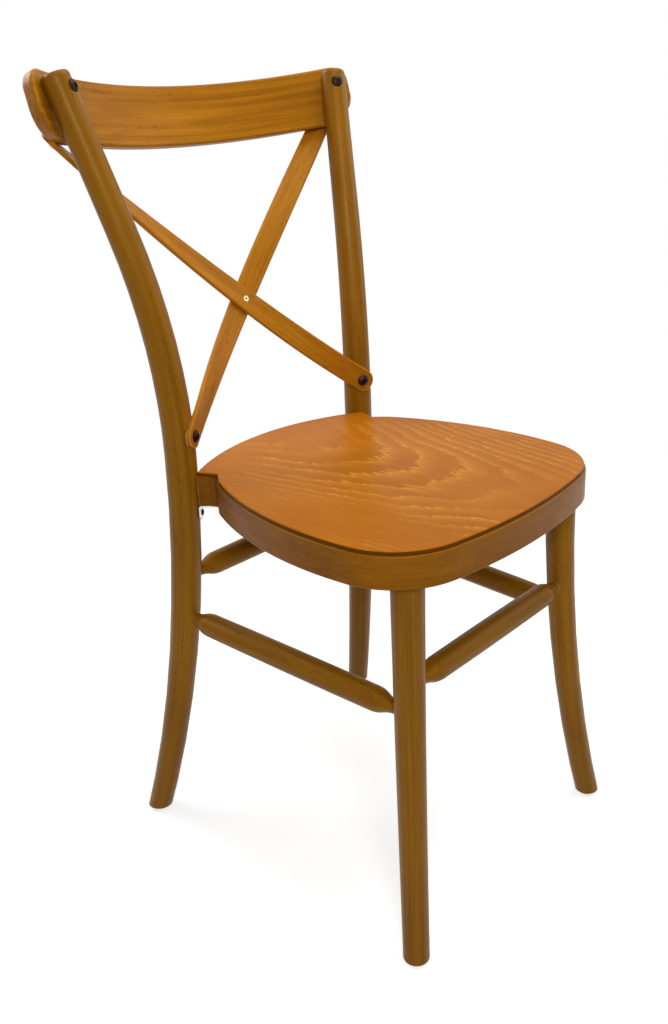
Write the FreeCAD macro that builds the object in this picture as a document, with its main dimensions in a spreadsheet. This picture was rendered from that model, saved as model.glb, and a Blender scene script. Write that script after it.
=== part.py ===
import FreeCAD, Part
import math
import os

import Sketcher
from FreeCAD import Placement, Rotation, Vector

os.makedirs("parts", exist_ok=True)
doc = FreeCAD.newDocument("CrossBackChair")

# Driving sizes in millimetres and degrees. X is across the chair, -Y is its front, Z is up from the floor.
SIZES = {
    # whole chair
    "chair_height": 880.0,
    "seat_height": 458.7,
    # how much taller the back stands over the seat than on the chair as built
    "back_rise": "=chair_height - seat_height - 421.3",
    # clearances: glue line of a wooden joint, running fit of metal in wood
    "glue_gap": 0.1,
    "metal_gap": 0.1,
    # rear posts, round rods bent in a plane that leans outward and back
    "post_half_span": 149.0,
    "post_y": 98.5,
    "post_splay": 53.9,
    "post_bend_height": "=seat_height + 21.3",
    "post_foot_offset": 71.0,
    "post_upper_radius": 780.0,
    "post_upper_bend": 18.3,
    "post_taper_height": 300.0,
    "post_foot_dia": 28.8,
    "post_seat_dia": 35.4,
    "post_shoulder_dia": 32.2,
    "post_top_dia": 30.0,
    "post_end_round": 5.0,
    # front legs, round rods bent outward to the foot
    "leg_half_span": 139.7,
    "leg_y": -220.0,
    "leg_splay": 43.1,
    "leg_foot_offset": 50.0,
    "leg_foot_dia": 28.0,
    "leg_top_dia": 34.4,
    "leg_tenon_dia": 22.0,
    "leg_tenon_length": 28.0,
    # seat frame, a bent ring with a notch before each post
    "frame_depth": 35.0,
    "frame_width": 45.0,
    "frame_half_width": 188.5,
    "frame_widest_y": -136.5,
    "frame_side_radius": 405.0,
    "frame_front_y": -270.5,
    "frame_front_radius": 600.0,
    "frame_corner_radius": 88.0,
    "frame_rear_y": 125.8,
    "frame_rear_radius": 265.0,
    "frame_inner_corner": 25.0,
    "frame_edge_round": 2.0,
    "notch_front_y": 42.5,
    "notch_depth": 13.5,
    "notch_length": 17.5,
    "notch_round": 6.0,
    # plywood seat panel
    "panel_thickness": 5.0,
    "panel_inset": 2.0,
    "panel_edge_round": 1.8,
    # crest rail, a curved board tilted back
    "rail_reach": "=200.8 + back_rise * tan(post_upper_bend * 1deg) * cos(post_splay * 1deg)",
    "rail_y": "=227.4 + back_rise * tan(post_upper_bend * 1deg) * sin(post_splay * 1deg)"
    " + sqrt(375 ^ 2 - 200.8 ^ 2) - sqrt(375 ^ 2 - rail_reach ^ 2)",
    "rail_bottom_z": "=chair_height - 80.1",
    "rail_tilt": 16.3,
    "rail_radius": 375.0,
    "rail_height": 69.8,
    "rail_thickness": 18.0,
    "rail_half_length": "=rail_reach + 27.9",
    "rail_top_corner": 18.5,
    "rail_bottom_corner": 34.0,
    "rail_front_round": 3.0,
    "rail_back_round": 7.0,
    # crossed slats, thin strips twisted on their way from the posts up to the rail's back
    "slat_width": 28.1,
    "slat_thickness": 5.5,
    "slat_edge_round": 2.2,
    "slat_foot_height": "=seat_height + 43.1",
    "slat_foot_turn": 26.0,
    "slat_foot_twist": -16.2,
    "slat_head_twist": 62.0,
    "slat_foot_flat": 2.3,
    "slat_head_x": "=rail_reach - 13.8",
    "slat_head_y": "=194.2 + back_rise * tan(post_upper_bend * 1deg) * sin(post_splay * 1deg)",
    "slat_head_z": "=chair_height - 77.8",
    "slat_bow_back": 13.5,
    "slat_bow_down": 8.1,
    "slat_gap": 0.3,
    "slat_head_run": 14.0,
    # stretchers
    "stretcher_dia": 28.0,
    "stretcher_waist_dia": 27.0,
    "stretcher_tenon_dia": 14.0,
    "stretcher_tenon_depth": 12.0,
    "stretcher_shoulder": 29.0,
    "side_stretcher_rear_z": 277.0,
    "side_stretcher_front_z": 272.0,
    "front_stretcher_z": 302.0,
    "rear_stretcher_z": 328.0,
    # button-head bolts and their threaded inserts
    "bolt_dia": 6.0,
    "bolt_head_dia": 14.0,
    "bolt_head_height": 4.0,
    "bolt_head_rim": 1.2,
    "bolt_socket": 5.0,
    "bolt_socket_depth": 2.6,
    "crest_bolt_z": "=chair_height - 16",
    "crest_bolt_turn": 30.0,
    "crest_bolt_length": 42.0,
    "crest_bolt_seat": 1.0,
    "slat_bolt_length": 24.0,
    "insert_dia": 10.0,
    "insert_length": 13.0,
    "insert_sink": 0.5,
    # screws through the slat heads into the rail
    "slat_screw_dia": 4.0,
    "slat_screw_head_dia": 8.0,
    "slat_screw_head_height": 2.4,
    "slat_screw_bite": 12.0,
    # hollow rivet at the crossing
    "rivet_dia": 4.4,
    "rivet_bore": 3.0,
    "rivet_flange_dia": 7.0,
    "rivet_flange": 0.6,
    # dowels and angle brackets between the posts and the seat frame
    "corner_turn": 40.4,
    "dowel_dia": 10.0,
    "dowel_length": 40.0,
    "dowel_in_post": 14.0,
    "bracket_thickness": 2.0,
    "bracket_width": 16.0,
    "bracket_drop": 18.0,
    "bracket_run": 34.0,
    "bracket_bend_radius": 2.5,
    "bracket_end_round": 6.0,
    "bracket_screw_dia": 3.5,
    "bracket_screw_head_dia": 7.5,
    "bracket_screw_head_height": 2.0,
    "bracket_screw_length": 14.0,
    "bracket_post_screw_drop": 10.5,
    "bracket_seat_screw_run": 24.0,
    # feet
    "glide_dia": 21.0,
    "glide_height": 4.0,
    "glide_nail_dia": 2.4,
    "glide_nail_head_dia": 6.0,
    "glide_nail_head_height": 1.0,
    "glide_nail_recess": 1.4,
    "glide_nail_length": 16.0,
}
sheet = doc.addObject("Spreadsheet::Sheet", "Sizes")
for row, (alias, number) in enumerate(SIZES.items(), 1):
    sheet.set("A%d" % row, alias)
    sheet.set("B%d" % row, str(number))
    sheet.setAlias("B%d" % row, alias)
doc.recompute()


def size(alias):
    return float(getattr(sheet, alias))


# How finely the bent rods and strips are divided along their length
BEND_STEPS = 8
LEG_STEPS = 7
SLAT_STEPS = 14
END_STEPS = 3
# Share of a slat's length over which it lies straight on its post
SLAT_STRAIGHT = 0.06
# Length by which tools run past the wood they cut, and the distance at which two points count as one
OVERRUN = 20.0
TOUCH = 0.01
SIDES = {"right": -1, "left": 1}

frame_top = size("seat_height") - size("panel_thickness")
frame_bottom = frame_top - size("frame_depth")


def bind(item, **expressions):
    for path, expression in expressions.items():
        item.setExpression(path, expression)


def turned_to(point, direction):
    """Placement that carries the local Z axis to a direction through a point."""
    return Placement(point, Rotation(Vector(0, 0, 1), direction))


def origin_plane(body, role):
    return next(f for f in body.Origin.OriginFeatures if f.Role == role)


def new_sketch(body, role, offset=None):
    sketch = body.newObject("Sketcher::SketchObject", body.Name + "Sketch")
    sketch.AttachmentSupport = [(origin_plane(body, role), "")]
    sketch.MapMode = "FlatFace"
    if offset is not None:
        sketch.AttachmentOffset = offset
    return sketch


def add_circle(sketch, radius, expression):
    index = sketch.addGeometry(Part.Circle(Vector(0, 0, 0), Vector(0, 0, 1), radius), False)
    sketch.addConstraint(Sketcher.Constraint("Coincident", index, 3, -1, 1))
    number = sketch.addConstraint(Sketcher.Constraint("Radius", index, radius))
    sketch.setExpression("Constraints[%d]" % number, expression)


def add_closed(sketch, points):
    """Closed chain through points; a point given as a pair (through, end) makes an arc."""
    start = points[0]
    here = start
    for item in points[1:] + [start]:
        end = item[1] if isinstance(item, tuple) else item
        if (end - here).Length < TOUCH:
            continue
        curve = Part.Arc(here, item[0], end) if isinstance(item, tuple) else Part.LineSegment(here, end)
        sketch.addGeometry(curve, False)
        here = end


def edges_near(feature, test):
    """Names of the edges whose every end and middle point passes a test."""
    names = []
    for number, edge in enumerate(feature.Shape.Edges, 1):
        middle = edge.valueAt((edge.FirstParameter + edge.LastParameter) / 2)
        points = [v.Point for v in edge.Vertexes] + [middle]
        if all(test(p) for p in points):
            names.append("Edge%d" % number)
    return names


def rounded(body, names, radius_alias):
    doc.recompute()
    base = body.Tip
    fillet = body.newObject("PartDesign::Fillet", body.Name + "Round")
    fillet.Base = (base, names)
    bind(fillet, Radius="Sizes." + radius_alias)
    doc.recompute()
    return fillet


def turned_body(name, outline):
    """Body turned about its local Z axis from a half outline in radius and height."""
    body = doc.addObject("PartDesign::Body", name)
    sketch = new_sketch(body, "XZ_Plane")
    add_closed(sketch, outline)
    turn = body.newObject("PartDesign::Revolution", name + "Turn")
    turn.Profile = sketch
    turn.ReferenceAxis = (sketch, ["V_Axis"])
    turn.Angle = 360
    return body


def drill(name, placement, radius_expression, height_expression):
    """Cylinder along the local Z axis of a placement, used as a cutting tool."""
    tool = doc.addObject("Part::Cylinder", name)
    bind(tool, Radius=radius_expression, Height=height_expression)
    tool.Placement = placement
    return tool


def carve(label, blank, tools):
    """Finished piece: a blank with all its tools taken out of it."""
    doc.recompute()
    group = tools[0]
    if len(tools) > 1:
        group = doc.addObject("Part::MultiFuse", label + "_tools")
        group.Shapes = tools
    piece = doc.addObject("Part::Cut", label)
    piece.Base = blank
    piece.Tool = group
    piece.Label = label
    return piece


def gather(label, members):
    group = doc.addObject("Part::Compound", label)
    group.Links = members
    group.Label = label
    return group


# Rods bent along arcs: each station is offset, height, lean and the two named diameters it lies between


def sweep_radius(chord, offset):
    """Radius of an arc that leaves its tangent by an offset over a length along it."""
    return (chord**2 + offset**2) / (2 * offset)


post_lower_radius = sweep_radius(size("post_bend_height"), size("post_foot_offset"))
upper_rise = size("post_upper_radius") * math.sin(math.radians(size("post_upper_bend")))
post_straight_z = size("post_bend_height") + upper_rise
leg_radius = sweep_radius(frame_bottom, size("leg_foot_offset"))


def post_station(height):
    """Offset and lean in degrees of a post's centreline at a height."""
    bend = size("post_bend_height")
    if height <= bend:
        lean = -math.asin((bend - height) / post_lower_radius)
        return post_lower_radius * (1 - math.cos(lean)), math.degrees(lean)
    upper = size("post_upper_radius")
    if height <= post_straight_z:
        lean = math.asin((height - bend) / upper)
        return upper * (1 - math.cos(lean)), math.degrees(lean)
    lean = math.radians(size("post_upper_bend"))
    rise = height - post_straight_z
    return upper * (1 - math.cos(lean)) + rise * math.tan(lean), math.degrees(lean)


def leg_station(height):
    lean = -math.asin((frame_bottom - height) / leg_radius)
    return leg_radius * (1 - math.cos(lean)), math.degrees(lean)


def post_taper(height):
    """The two named diameters that a height lies between, and the share of the second."""
    marks = [
        (0.0, "post_foot_dia"),
        (size("post_taper_height"), "post_seat_dia"),
        (size("post_bend_height"), "post_seat_dia"),
        (post_straight_z, "post_shoulder_dia"),
        (size("chair_height"), "post_top_dia"),
    ]
    for (low, first), (high, second) in zip(marks, marks[1:]):
        if height <= high:
            break
    return first, second, (height - low) / (high - low)


def leg_taper(height):
    return "leg_foot_dia", "leg_top_dia", height / frame_bottom


def radius_at(taper, height):
    first, second, share = taper(height)
    return (size(first) + (size(second) - size(first)) * share) / 2


def radius_rule(taper, height, shrink=0.0):
    first, second, share = taper(height)
    rule = "(Sizes.%s + (Sizes.%s - Sizes.%s) * %.6f) / 2 - %.6f"
    return rule % (first, second, first, share, shrink)


def bent_rod(name, station, taper, heights, end_round=0.0):
    """Rod lofted through round sections square to its centreline, its top edge rounded by end_round."""
    body = doc.addObject("PartDesign::Body", name)
    sections = []
    levels = [(height, 0.0, 0.0) for height in heights]
    if end_round:
        last = levels.pop()[0]
        for step in range(END_STEPS + 1):
            turn = math.radians(90.0 * step / END_STEPS)
            levels.append((last, end_round * (math.sin(turn) - 1), end_round * (1 - math.cos(turn))))
    for height, along, shrink in levels:
        offset, lean = station(height)
        heading = Vector(math.sin(math.radians(lean)), 0, math.cos(math.radians(lean)))
        centre = Vector(offset, 0, height) + heading * along
        sketch = new_sketch(body, "XY_Plane", Placement(centre, Rotation(Vector(0, 1, 0), lean)))
        add_circle(sketch, radius_at(taper, height) - shrink, radius_rule(taper, height, shrink))
        sections.append(sketch)
    loft = body.newObject("PartDesign::AdditiveLoft", name + "Loft")
    loft.Profile = sections[0]
    loft.Sections = sections[1:]
    loft.Ruled = True
    return body


def steps_between(low, high, count):
    return [low + (high - low) * step / count for step in range(count + 1)]


def post_heights():
    """Heights at equal turns of each arc, starting a little below the floor."""
    bend = size("post_bend_height")
    low = math.asin((bend + OVERRUN) / post_lower_radius)
    lower = [bend - post_lower_radius * math.sin(a) for a in steps_between(low, 0.0, BEND_STEPS)]
    high = math.radians(size("post_upper_bend"))
    upper = [bend + size("post_upper_radius") * math.sin(a) for a in steps_between(0.0, high, BEND_STEPS)]
    return lower + upper[1:] + [size("chair_height")]


def post_point(side, height):
    """Centre of a post at a height, in the chair's frame."""
    offset = post_station(height)[0]
    splay = math.radians(size("post_splay"))
    x = size("post_half_span") + offset * math.cos(splay)
    return Vector(side * x, size("post_y") + offset * math.sin(splay), height)


def leg_point(side, height):
    offset = leg_station(height)[0]
    splay = math.radians(size("leg_splay"))
    x = size("leg_half_span") + offset * math.cos(splay)
    return Vector(side * x, size("leg_y") - offset * math.sin(splay), height)


def floor_cut(name):
    """Block that trims the feet level at the top of the glides."""
    block = doc.addObject("Part::Box", name)
    width = 4 * size("post_half_span")
    bind(block, Height="Sizes.glide_height + %g" % (3 * OVERRUN))
    block.Length = width
    block.Width = width
    block.Placement = Placement(Vector(-width / 2, -width / 2, -3 * OVERRUN), Rotation())
    return block


# Crest rail frame: X across, local Y square to the board and backward, local Z up the board

rail_turn = Rotation(Vector(1, 0, 0), -size("rail_tilt"))
rail_base = Vector(0, size("rail_y"), size("rail_bottom_z"))
rail_placement = Placement(rail_base, rail_turn)


def rail_front(x, up):
    """Point on the rail's front face."""
    radius = size("rail_radius")
    return rail_placement.multVec(Vector(x, math.sqrt(radius**2 - x**2) - radius, up))


def rail_cylinder(name, radius_expression, reach):
    """Cylinder about the axis that the rail is bent round, reaching past the board both ways."""
    tool = doc.addObject("Part::Cylinder", name)
    bind(tool, Radius=radius_expression, Height="Sizes.rail_height + %g" % (2 * reach))
    axis_foot = rail_placement.multVec(Vector(0, -size("rail_radius"), -reach))
    tool.Placement = Placement(axis_foot, rail_turn)
    return tool


# Crossed slats: the line runs from the foot bolt on one post, a little bowed, to the rail's back by the other


slat_half = size("slat_thickness") / 2
foot_turn = math.radians(size("slat_foot_turn"))
slat_foot_z = size("slat_foot_height")
slat_foot_reach = radius_at(post_taper, slat_foot_z) - size("slat_foot_flat") + slat_half
slat_foot = post_point(1, slat_foot_z) + Vector(-math.sin(foot_turn), -math.cos(foot_turn), 0) * slat_foot_reach
slat_head = Vector(-size("slat_head_x"), size("slat_head_y"), size("slat_head_z"))
slat_bow = Vector(0, size("slat_bow_back"), -size("slat_bow_down"))
crossing = slat_foot.x / (slat_foot.x - slat_head.x)


def slat_line(share):
    """Bowed centreline, dead straight over the foot."""
    return slat_foot + (slat_head - slat_foot) * share + slat_bow * (4 * share * (1 - max(share, SLAT_STRAIGHT)))


def slat_heading(share):
    slope = 1 - SLAT_STRAIGHT if share <= SLAT_STRAIGHT else 1 - 2 * share
    return (slat_head - slat_foot + slat_bow * (4 * slope)).normalize()


def twist_of(heading, face):
    """Turn of a face about a heading, in radians, from the upright position that looks to the front."""
    across = heading.cross(Vector(0, -1, 0)).normalize()
    return math.atan2(face.dot(across), face.dot(across.cross(heading)))


def crossing_face():
    """Face square to both strips at their crossing, so that they lie flush where the rivet holds them."""
    heading = slat_heading(crossing)
    return Vector(0, -heading.z, heading.y).normalize()


TWISTS = [
    (SLAT_STRAIGHT, math.radians(size("slat_foot_twist"))),
    (crossing, twist_of(slat_heading(crossing), crossing_face())),
    (1.0, math.radians(size("slat_head_twist"))),
]


def slat_twist(share):
    """The twist follows a parabola through its values at the foot, the crossing and the head."""
    place = max(share, SLAT_STRAIGHT)
    twist = 0.0
    for mark, turn in TWISTS:
        weight = 1.0
        for other, _ in TWISTS:
            if other != mark:
                weight *= (place - other) / (mark - other)
        twist += turn * weight
    return twist


def slat_face(share):
    """Outward normal of the strip's front face."""
    heading = slat_heading(share)
    across = heading.cross(Vector(0, -1, 0)).normalize()
    twist = slat_twist(share)
    return across.cross(heading) * math.cos(twist) + across * math.sin(twist)


def slat_lift(share):
    """How far the layers are parted: none at the foot and head, all of it around the crossing."""
    full = (crossing - SLAT_STRAIGHT) * (1 - crossing)
    return min(1.0, max(0.0, (share - SLAT_STRAIGHT) * (1 - share) / full))


def slat_stations(layer):
    """Centre, heading and face along the strip; layer 1 passes in front at the crossing and -1 behind."""
    parted = layer * (slat_half + size("slat_gap") / 2)
    stations = []
    for share in [-SLAT_STRAIGHT] + steps_between(SLAT_STRAIGHT, 1.0, SLAT_STEPS):
        face = slat_face(share)
        stations.append((slat_line(share) + face * (parted * slat_lift(share)), slat_heading(share), face))
    centre, heading, face = stations[-1]
    stations.append((centre + heading * (size("slat_head_run") + size("slat_width")), heading, face))
    return stations


def slat_section(station, grow):
    """Rounded rectangle across the strip, grown all round by grow."""
    centre, heading, face = station
    across = heading.cross(face).normalize()
    wide = size("slat_width") / 2 + grow
    thick = slat_half + grow
    r = size("slat_edge_round")
    bulge = r * (1 - math.sqrt(0.5))

    def at(u, v):
        return centre + across * u + face * v

    edges = []
    corners = [(1, 1), (-1, 1), (-1, -1), (1, -1)]
    for k, (su, sv) in enumerate(corners):
        nu, nv = corners[(k + 1) % 4]
        first = at(su * wide, sv * (thick - r))
        second = at(su * (wide - r), sv * thick)
        following = at(nu * (wide - r), nv * thick)
        if k % 2:
            first, second = second, first
            following = at(nu * wide, nv * (thick - r))
        edges.append(Part.Arc(first, at(su * (wide - bulge), sv * (thick - bulge)), second).toShape())
        edges.append(Part.LineSegment(second, following).toShape())
    return Part.Wire(edges)


def slat_strip(name, layer, grow=0.0):
    """Twisted strip that runs past the round ends of both its foot and its head."""
    shape = Part.makeLoft([slat_section(station, grow) for station in slat_stations(layer)], True, True)
    if layer < 0:
        shape = shape.mirror(Vector(0, 0, 0), Vector(1, 0, 0))
    strip = doc.addObject("Part::Feature", name)
    strip.Shape = shape
    return strip


def slat_side(layer, vector):
    """The rear slat is the front slat's mirror image."""
    return vector if layer > 0 else Vector(-vector.x, vector.y, vector.z)


def slat_head_frame(layer):
    """Centre, heading and face of the strip at its head's screw."""
    centre, heading, face = slat_stations(layer)[-2]
    centre = centre + heading * size("slat_head_run")
    return [slat_side(layer, vector) for vector in (centre, heading, face)]


def slat_foot_frame(layer):
    """Centre, heading and face of the strip at its foot's bolt."""
    return [slat_side(layer, vector) for vector in (slat_foot, slat_heading(0.0), slat_face(0.0))]


# Rear posts and front legs


def crest_bolt_normal(side):
    turn = math.radians(size("crest_bolt_turn"))
    tilt = math.radians(size("rail_tilt"))
    return Vector(-side * math.sin(turn), -math.cos(turn) * math.cos(tilt), math.cos(turn) * math.sin(tilt))


def crest_bolt_seat(side):
    """Centre of the underside of a crest bolt's head, on its spot face in the post."""
    height = size("crest_bolt_z")
    reach = radius_at(post_taper, height) - size("crest_bolt_seat")
    return post_point(side, height) + crest_bolt_normal(side) * reach


def slat_bolt_seat(side):
    """Centre of the front face of a slat at its foot bolt, and the face's normal."""
    centre, _, face = slat_foot_frame(side)
    return centre + face * slat_half, face


def slat_screw_seat(layer):
    """Centre of the back face of a slat at its head screw, and the normal of that face."""
    centre, _, face = slat_head_frame(layer)
    return centre - face * slat_half, face * -1


def block_along(name, centre, frame, start):
    """Block as wide as a slat with its clearances, from a centre along the strip and up from start."""
    heading, face = frame
    across = heading.cross(face).normalize()
    block = doc.addObject("Part::Box", name)
    bind(block, Length="Sizes.slat_width + 2 * Sizes.glue_gap", Height="Sizes.post_seat_dia")
    block.Width = 3 * OVERRUN
    corner = centre - across * (size("slat_width") / 2 + size("glue_gap")) + face * start
    block.Placement = Placement(corner, Rotation(across, heading, face, "ZXY"))
    return block


def nose_cut(name, centre, heading, normal, rule):
    """All that lies past a round end of a strip; the heading points out of it."""
    across = heading.cross(normal).normalize()
    block = doc.addObject("Part::Box", name + "Block")
    block.Length = 4 * OVERRUN
    block.Width = 4 * OVERRUN
    block.Height = 2 * OVERRUN
    corner = centre - across * (2 * OVERRUN) - normal * OVERRUN
    block.Placement = Placement(corner, Rotation(across, heading, normal, "ZXY"))
    nose = doc.addObject("Part::Cut", name)
    nose.Base = block
    nose_start = turned_to(centre - normal * (2 * OVERRUN), normal)
    nose.Tool = drill(name + "Round", nose_start, rule, "%g" % (4 * OVERRUN))
    return nose


def corner_heading(side):
    """From a post to the seat frame's rear corner."""
    turn = math.radians(size("corner_turn"))
    return Vector(-side * math.sin(turn), -math.cos(turn), 0)


def stretcher_ends():
    """Name, two axis points, and the radii of the rods they enter."""
    rear = size("side_stretcher_rear_z")
    front = size("side_stretcher_front_z")
    for word, side in SIDES.items():
        yield (
            "side_stretcher_" + word,
            (post_point(side, rear), radius_at(post_taper, rear)),
            (leg_point(side, front), radius_at(leg_taper, front)),
        )
    height = size("front_stretcher_z")
    radius = radius_at(leg_taper, height)
    yield "front_stretcher", (leg_point(-1, height), radius), (leg_point(1, height), radius)
    height = size("rear_stretcher_z")
    radius = radius_at(post_taper, height)
    yield "rear_stretcher", (post_point(-1, height), radius), (post_point(1, height), radius)


mortises = {"post-1": [], "post1": [], "leg-1": [], "leg1": []}
stretchers = []
tenon_radius_rule = "Sizes.stretcher_tenon_dia / 2 + Sizes.glue_gap"
for label, (first, first_radius), (second, second_radius) in stretcher_ends():
    heading = (second - first).normalize()
    span = (second - first).Length
    low = first_radius - size("stretcher_tenon_depth")
    high = span - second_radius + size("stretcher_tenon_depth")
    thin = size("stretcher_tenon_dia") / 2
    waist = size("stretcher_waist_dia") / 2
    full = size("stretcher_dia") / 2
    # each end swells from the tenon through a hollow arc and then a round one, which meet half way
    shoulder = size("stretcher_shoulder")
    half_way = (thin + waist) / 2
    sweep = (shoulder**2 + (waist - thin) ** 2) / (4 * (waist - thin))
    quarter = sweep - math.sqrt(sweep**2 - (shoulder / 4) ** 2)
    low_face = first_radius
    high_face = span - second_radius
    outline = [
        Vector(0, low, 0),
        Vector(thin, low, 0),
        Vector(thin, low_face, 0),
        (Vector(thin + quarter, low_face + shoulder / 4, 0), Vector(half_way, low_face + shoulder / 2, 0)),
        (Vector(waist - quarter, low_face + shoulder * 3 / 4, 0), Vector(waist, low_face + shoulder, 0)),
        (Vector(full, span / 2, 0), Vector(waist, high_face - shoulder, 0)),
        (Vector(waist - quarter, high_face - shoulder * 3 / 4, 0), Vector(half_way, high_face - shoulder / 2, 0)),
        (Vector(thin + quarter, high_face - shoulder / 4, 0), Vector(thin, high_face, 0)),
        Vector(thin, high, 0),
        Vector(0, high, 0),
    ]
    body = turned_body(label, outline)
    body.Label = label
    body.Placement = turned_to(first, heading)
    stretchers.append(body)
    ends = [(first, heading, first_radius), (second, heading * -1, second_radius)]
    for point, inward, radius in ends:
        kind = "leg" if point.y < 0 else "post"
        side = 1 if point.x > 0 else -1
        start = point + inward * (radius - size("stretcher_tenon_depth") - size("glue_gap"))
        reach = "Sizes.stretcher_tenon_depth + %g" % OVERRUN
        tool = drill(label + "Mortise", turned_to(start, inward), tenon_radius_rule, reach)
        mortises["%s%d" % (kind, side)].append(tool)

blank = bent_rod("RearPostRod", post_station, post_taper, post_heights(), size("post_end_round"))
side = 1
base = Vector(side * size("post_half_span"), size("post_y"), 0)
blank.Placement = Placement(base, Rotation(Vector(0, 0, 1), size("post_splay")))
tools = mortises["post1"] + [floor_cut("PostFloor")]
# bore and spot face of the crest bolt
normal = crest_bolt_normal(side)
seat = crest_bolt_seat(side)
bore = turned_to(seat - normal * size("crest_bolt_length"), normal)
tools.append(drill("CrestBore", bore, "Sizes.bolt_dia / 2 + Sizes.metal_gap", "Sizes.crest_bolt_length + 1"))
face_rule = "Sizes.bolt_head_dia / 2 + Sizes.metal_gap"
tools.append(drill("CrestFace", turned_to(seat, normal), face_rule, "Sizes.post_top_dia"))
# the rail seats in a hollow cut to its own front face
saddle = doc.addObject("Part::Cut", "RailSaddle")
saddle.Base = rail_cylinder("SaddleOuter", "Sizes.rail_radius + Sizes.rail_thickness * 2", OVERRUN)
saddle.Tool = rail_cylinder("SaddleInner", "Sizes.rail_radius - Sizes.glue_gap", 2 * OVERRUN)
tools.append(saddle)
# housing and insert hole of the slat's foot
centre, heading, normal = slat_foot_frame(side)
flat = centre - normal * slat_half
round_rule = "Sizes.slat_width / 2 + Sizes.glue_gap"
tools.append(drill("SlatFlat", turned_to(flat, normal), round_rule, "Sizes.post_seat_dia"))
tools.append(block_along("SlatFlatRun", centre, (heading, normal), -slat_half))
hole = turned_to(flat - normal * (size("slat_bolt_length") + 1), normal)
tools.append(drill("SlatBore", hole, "Sizes.bolt_dia / 2 + Sizes.metal_gap", "Sizes.slat_bolt_length + 2"))
insert_start = flat - normal * (size("insert_sink") + size("insert_length") + size("metal_gap"))
insert_rule = "Sizes.insert_dia / 2 + Sizes.metal_gap"
tools.append(drill("SlatInsertHole", turned_to(insert_start, normal), insert_rule, "Sizes.insert_length + 2"))
# dowel hole and bracket screw hole on the line to the seat frame
inward = corner_heading(side)
middle = post_point(side, (frame_top + frame_bottom) / 2)
start = middle + inward * (radius_at(post_taper, middle.z) - size("dowel_in_post") - size("glue_gap"))
dowel_rule = "Sizes.dowel_dia / 2 + Sizes.glue_gap"
tools.append(drill("PostDowelHole", turned_to(start, inward), dowel_rule, "Sizes.dowel_length"))
screw_z = frame_bottom - size("bracket_post_screw_drop")
centre = post_point(side, screw_z)
screw_rule = "Sizes.bracket_screw_dia / 2 + Sizes.metal_gap"
tools.append(drill("PostScrewHole", turned_to(centre, inward), screw_rule, "Sizes.post_seat_dia"))
# nail hole under the foot
foot = post_point(side, size("glide_height"))
nail_rule = "Sizes.glide_nail_dia / 2 + Sizes.metal_gap"
nail_hole = Placement(foot - Vector(0, 0, 1), Rotation())
tools.append(drill("PostNailHole", nail_hole, nail_rule, "Sizes.glide_nail_length"))
left_post = carve("rear_post_left", blank, tools)
right_post = doc.addObject("Part::Mirroring", "rear_post_right")
right_post.Source = left_post
right_post.Normal = Vector(1, 0, 0)
right_post.Label = "rear_post_right"

for word, side in SIDES.items():
    heights = steps_between(-OVERRUN, frame_bottom, LEG_STEPS)
    blank = bent_rod("FrontLegRod" + word, leg_station, leg_taper, heights)
    tenon_sketch = new_sketch(blank, "XY_Plane", Placement(Vector(0, 0, frame_bottom), Rotation()))
    add_circle(tenon_sketch, size("leg_tenon_dia") / 2, "Sizes.leg_tenon_dia / 2")
    tenon = blank.newObject("PartDesign::Pad", blank.Name + "Tenon")
    tenon.Profile = tenon_sketch
    bind(tenon, Length="Sizes.leg_tenon_length")
    swing = -size("leg_splay") if side > 0 else 180 + size("leg_splay")
    base = Vector(side * size("leg_half_span"), size("leg_y"), 0)
    blank.Placement = Placement(base, Rotation(Vector(0, 0, 1), swing))
    foot = leg_point(side, size("glide_height"))
    nail_hole = Placement(foot - Vector(0, 0, 1), Rotation())
    nail_tool = drill("LegNailHole" + word, nail_hole, nail_rule, "Sizes.glide_nail_length")
    carve("front_leg_" + word, blank, mortises["leg%d" % side] + [floor_cut("LegFloor" + word), nail_tool])


# Seat outline, drawn as arcs about fixed centres so that every inset keeps a constant width

front_centre = Vector(0, size("frame_front_y") + size("frame_front_radius"), 0)
side_centre = Vector(size("frame_half_width") - size("frame_side_radius"), size("frame_widest_y"), 0)
rear_centre = Vector(0, size("frame_rear_y") - size("frame_rear_radius"), 0)


def where_circles_meet(first, first_radius, second, second_radius, turn):
    """Meeting point of two circles on the left (turn 1) or right (turn -1) of the line from first to second."""
    gap = (second - first).Length
    along = (second - first).normalize()
    run = (gap**2 + first_radius**2 - second_radius**2) / (2 * gap)
    rise = math.sqrt(first_radius**2 - run**2)
    return first + along * run + Vector(-along.y, along.x, 0) * (turn * rise)


def where_line_meets(point, along, centre, radius):
    """Where a line first meets a circle ahead of a point inside or outside it."""
    away = point - centre
    half = away.dot(along)
    root = math.sqrt(half**2 - (away.dot(away) - radius**2))
    return point + along * (root - half)


corner_centre = where_circles_meet(
    front_centre,
    size("frame_front_radius") - size("frame_corner_radius"),
    side_centre,
    size("frame_side_radius") - size("frame_corner_radius"),
    1,
)


def on_circle(centre, toward, radius):
    return centre + (toward - centre).normalize() * radius


def arc_middle(centre, radius, start, end):
    return on_circle(centre, (start + end) * 0.5, radius)


notch_mouth = side_centre + Vector(
    math.sqrt(size("frame_side_radius") ** 2 - (size("notch_front_y") - side_centre.y) ** 2),
    size("notch_front_y") - side_centre.y,
    0,
)
notch_floor = Vector(notch_mouth.x - size("notch_depth"), notch_mouth.y + size("notch_length"), 0)
post_centre = Vector(size("post_half_span"), size("post_y"), 0)


def shifted(start, end, inset):
    """A line moved toward the seat's middle."""
    along = (end - start).normalize()
    return start + Vector(-along.y, along.x, 0) * inset, along


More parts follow.
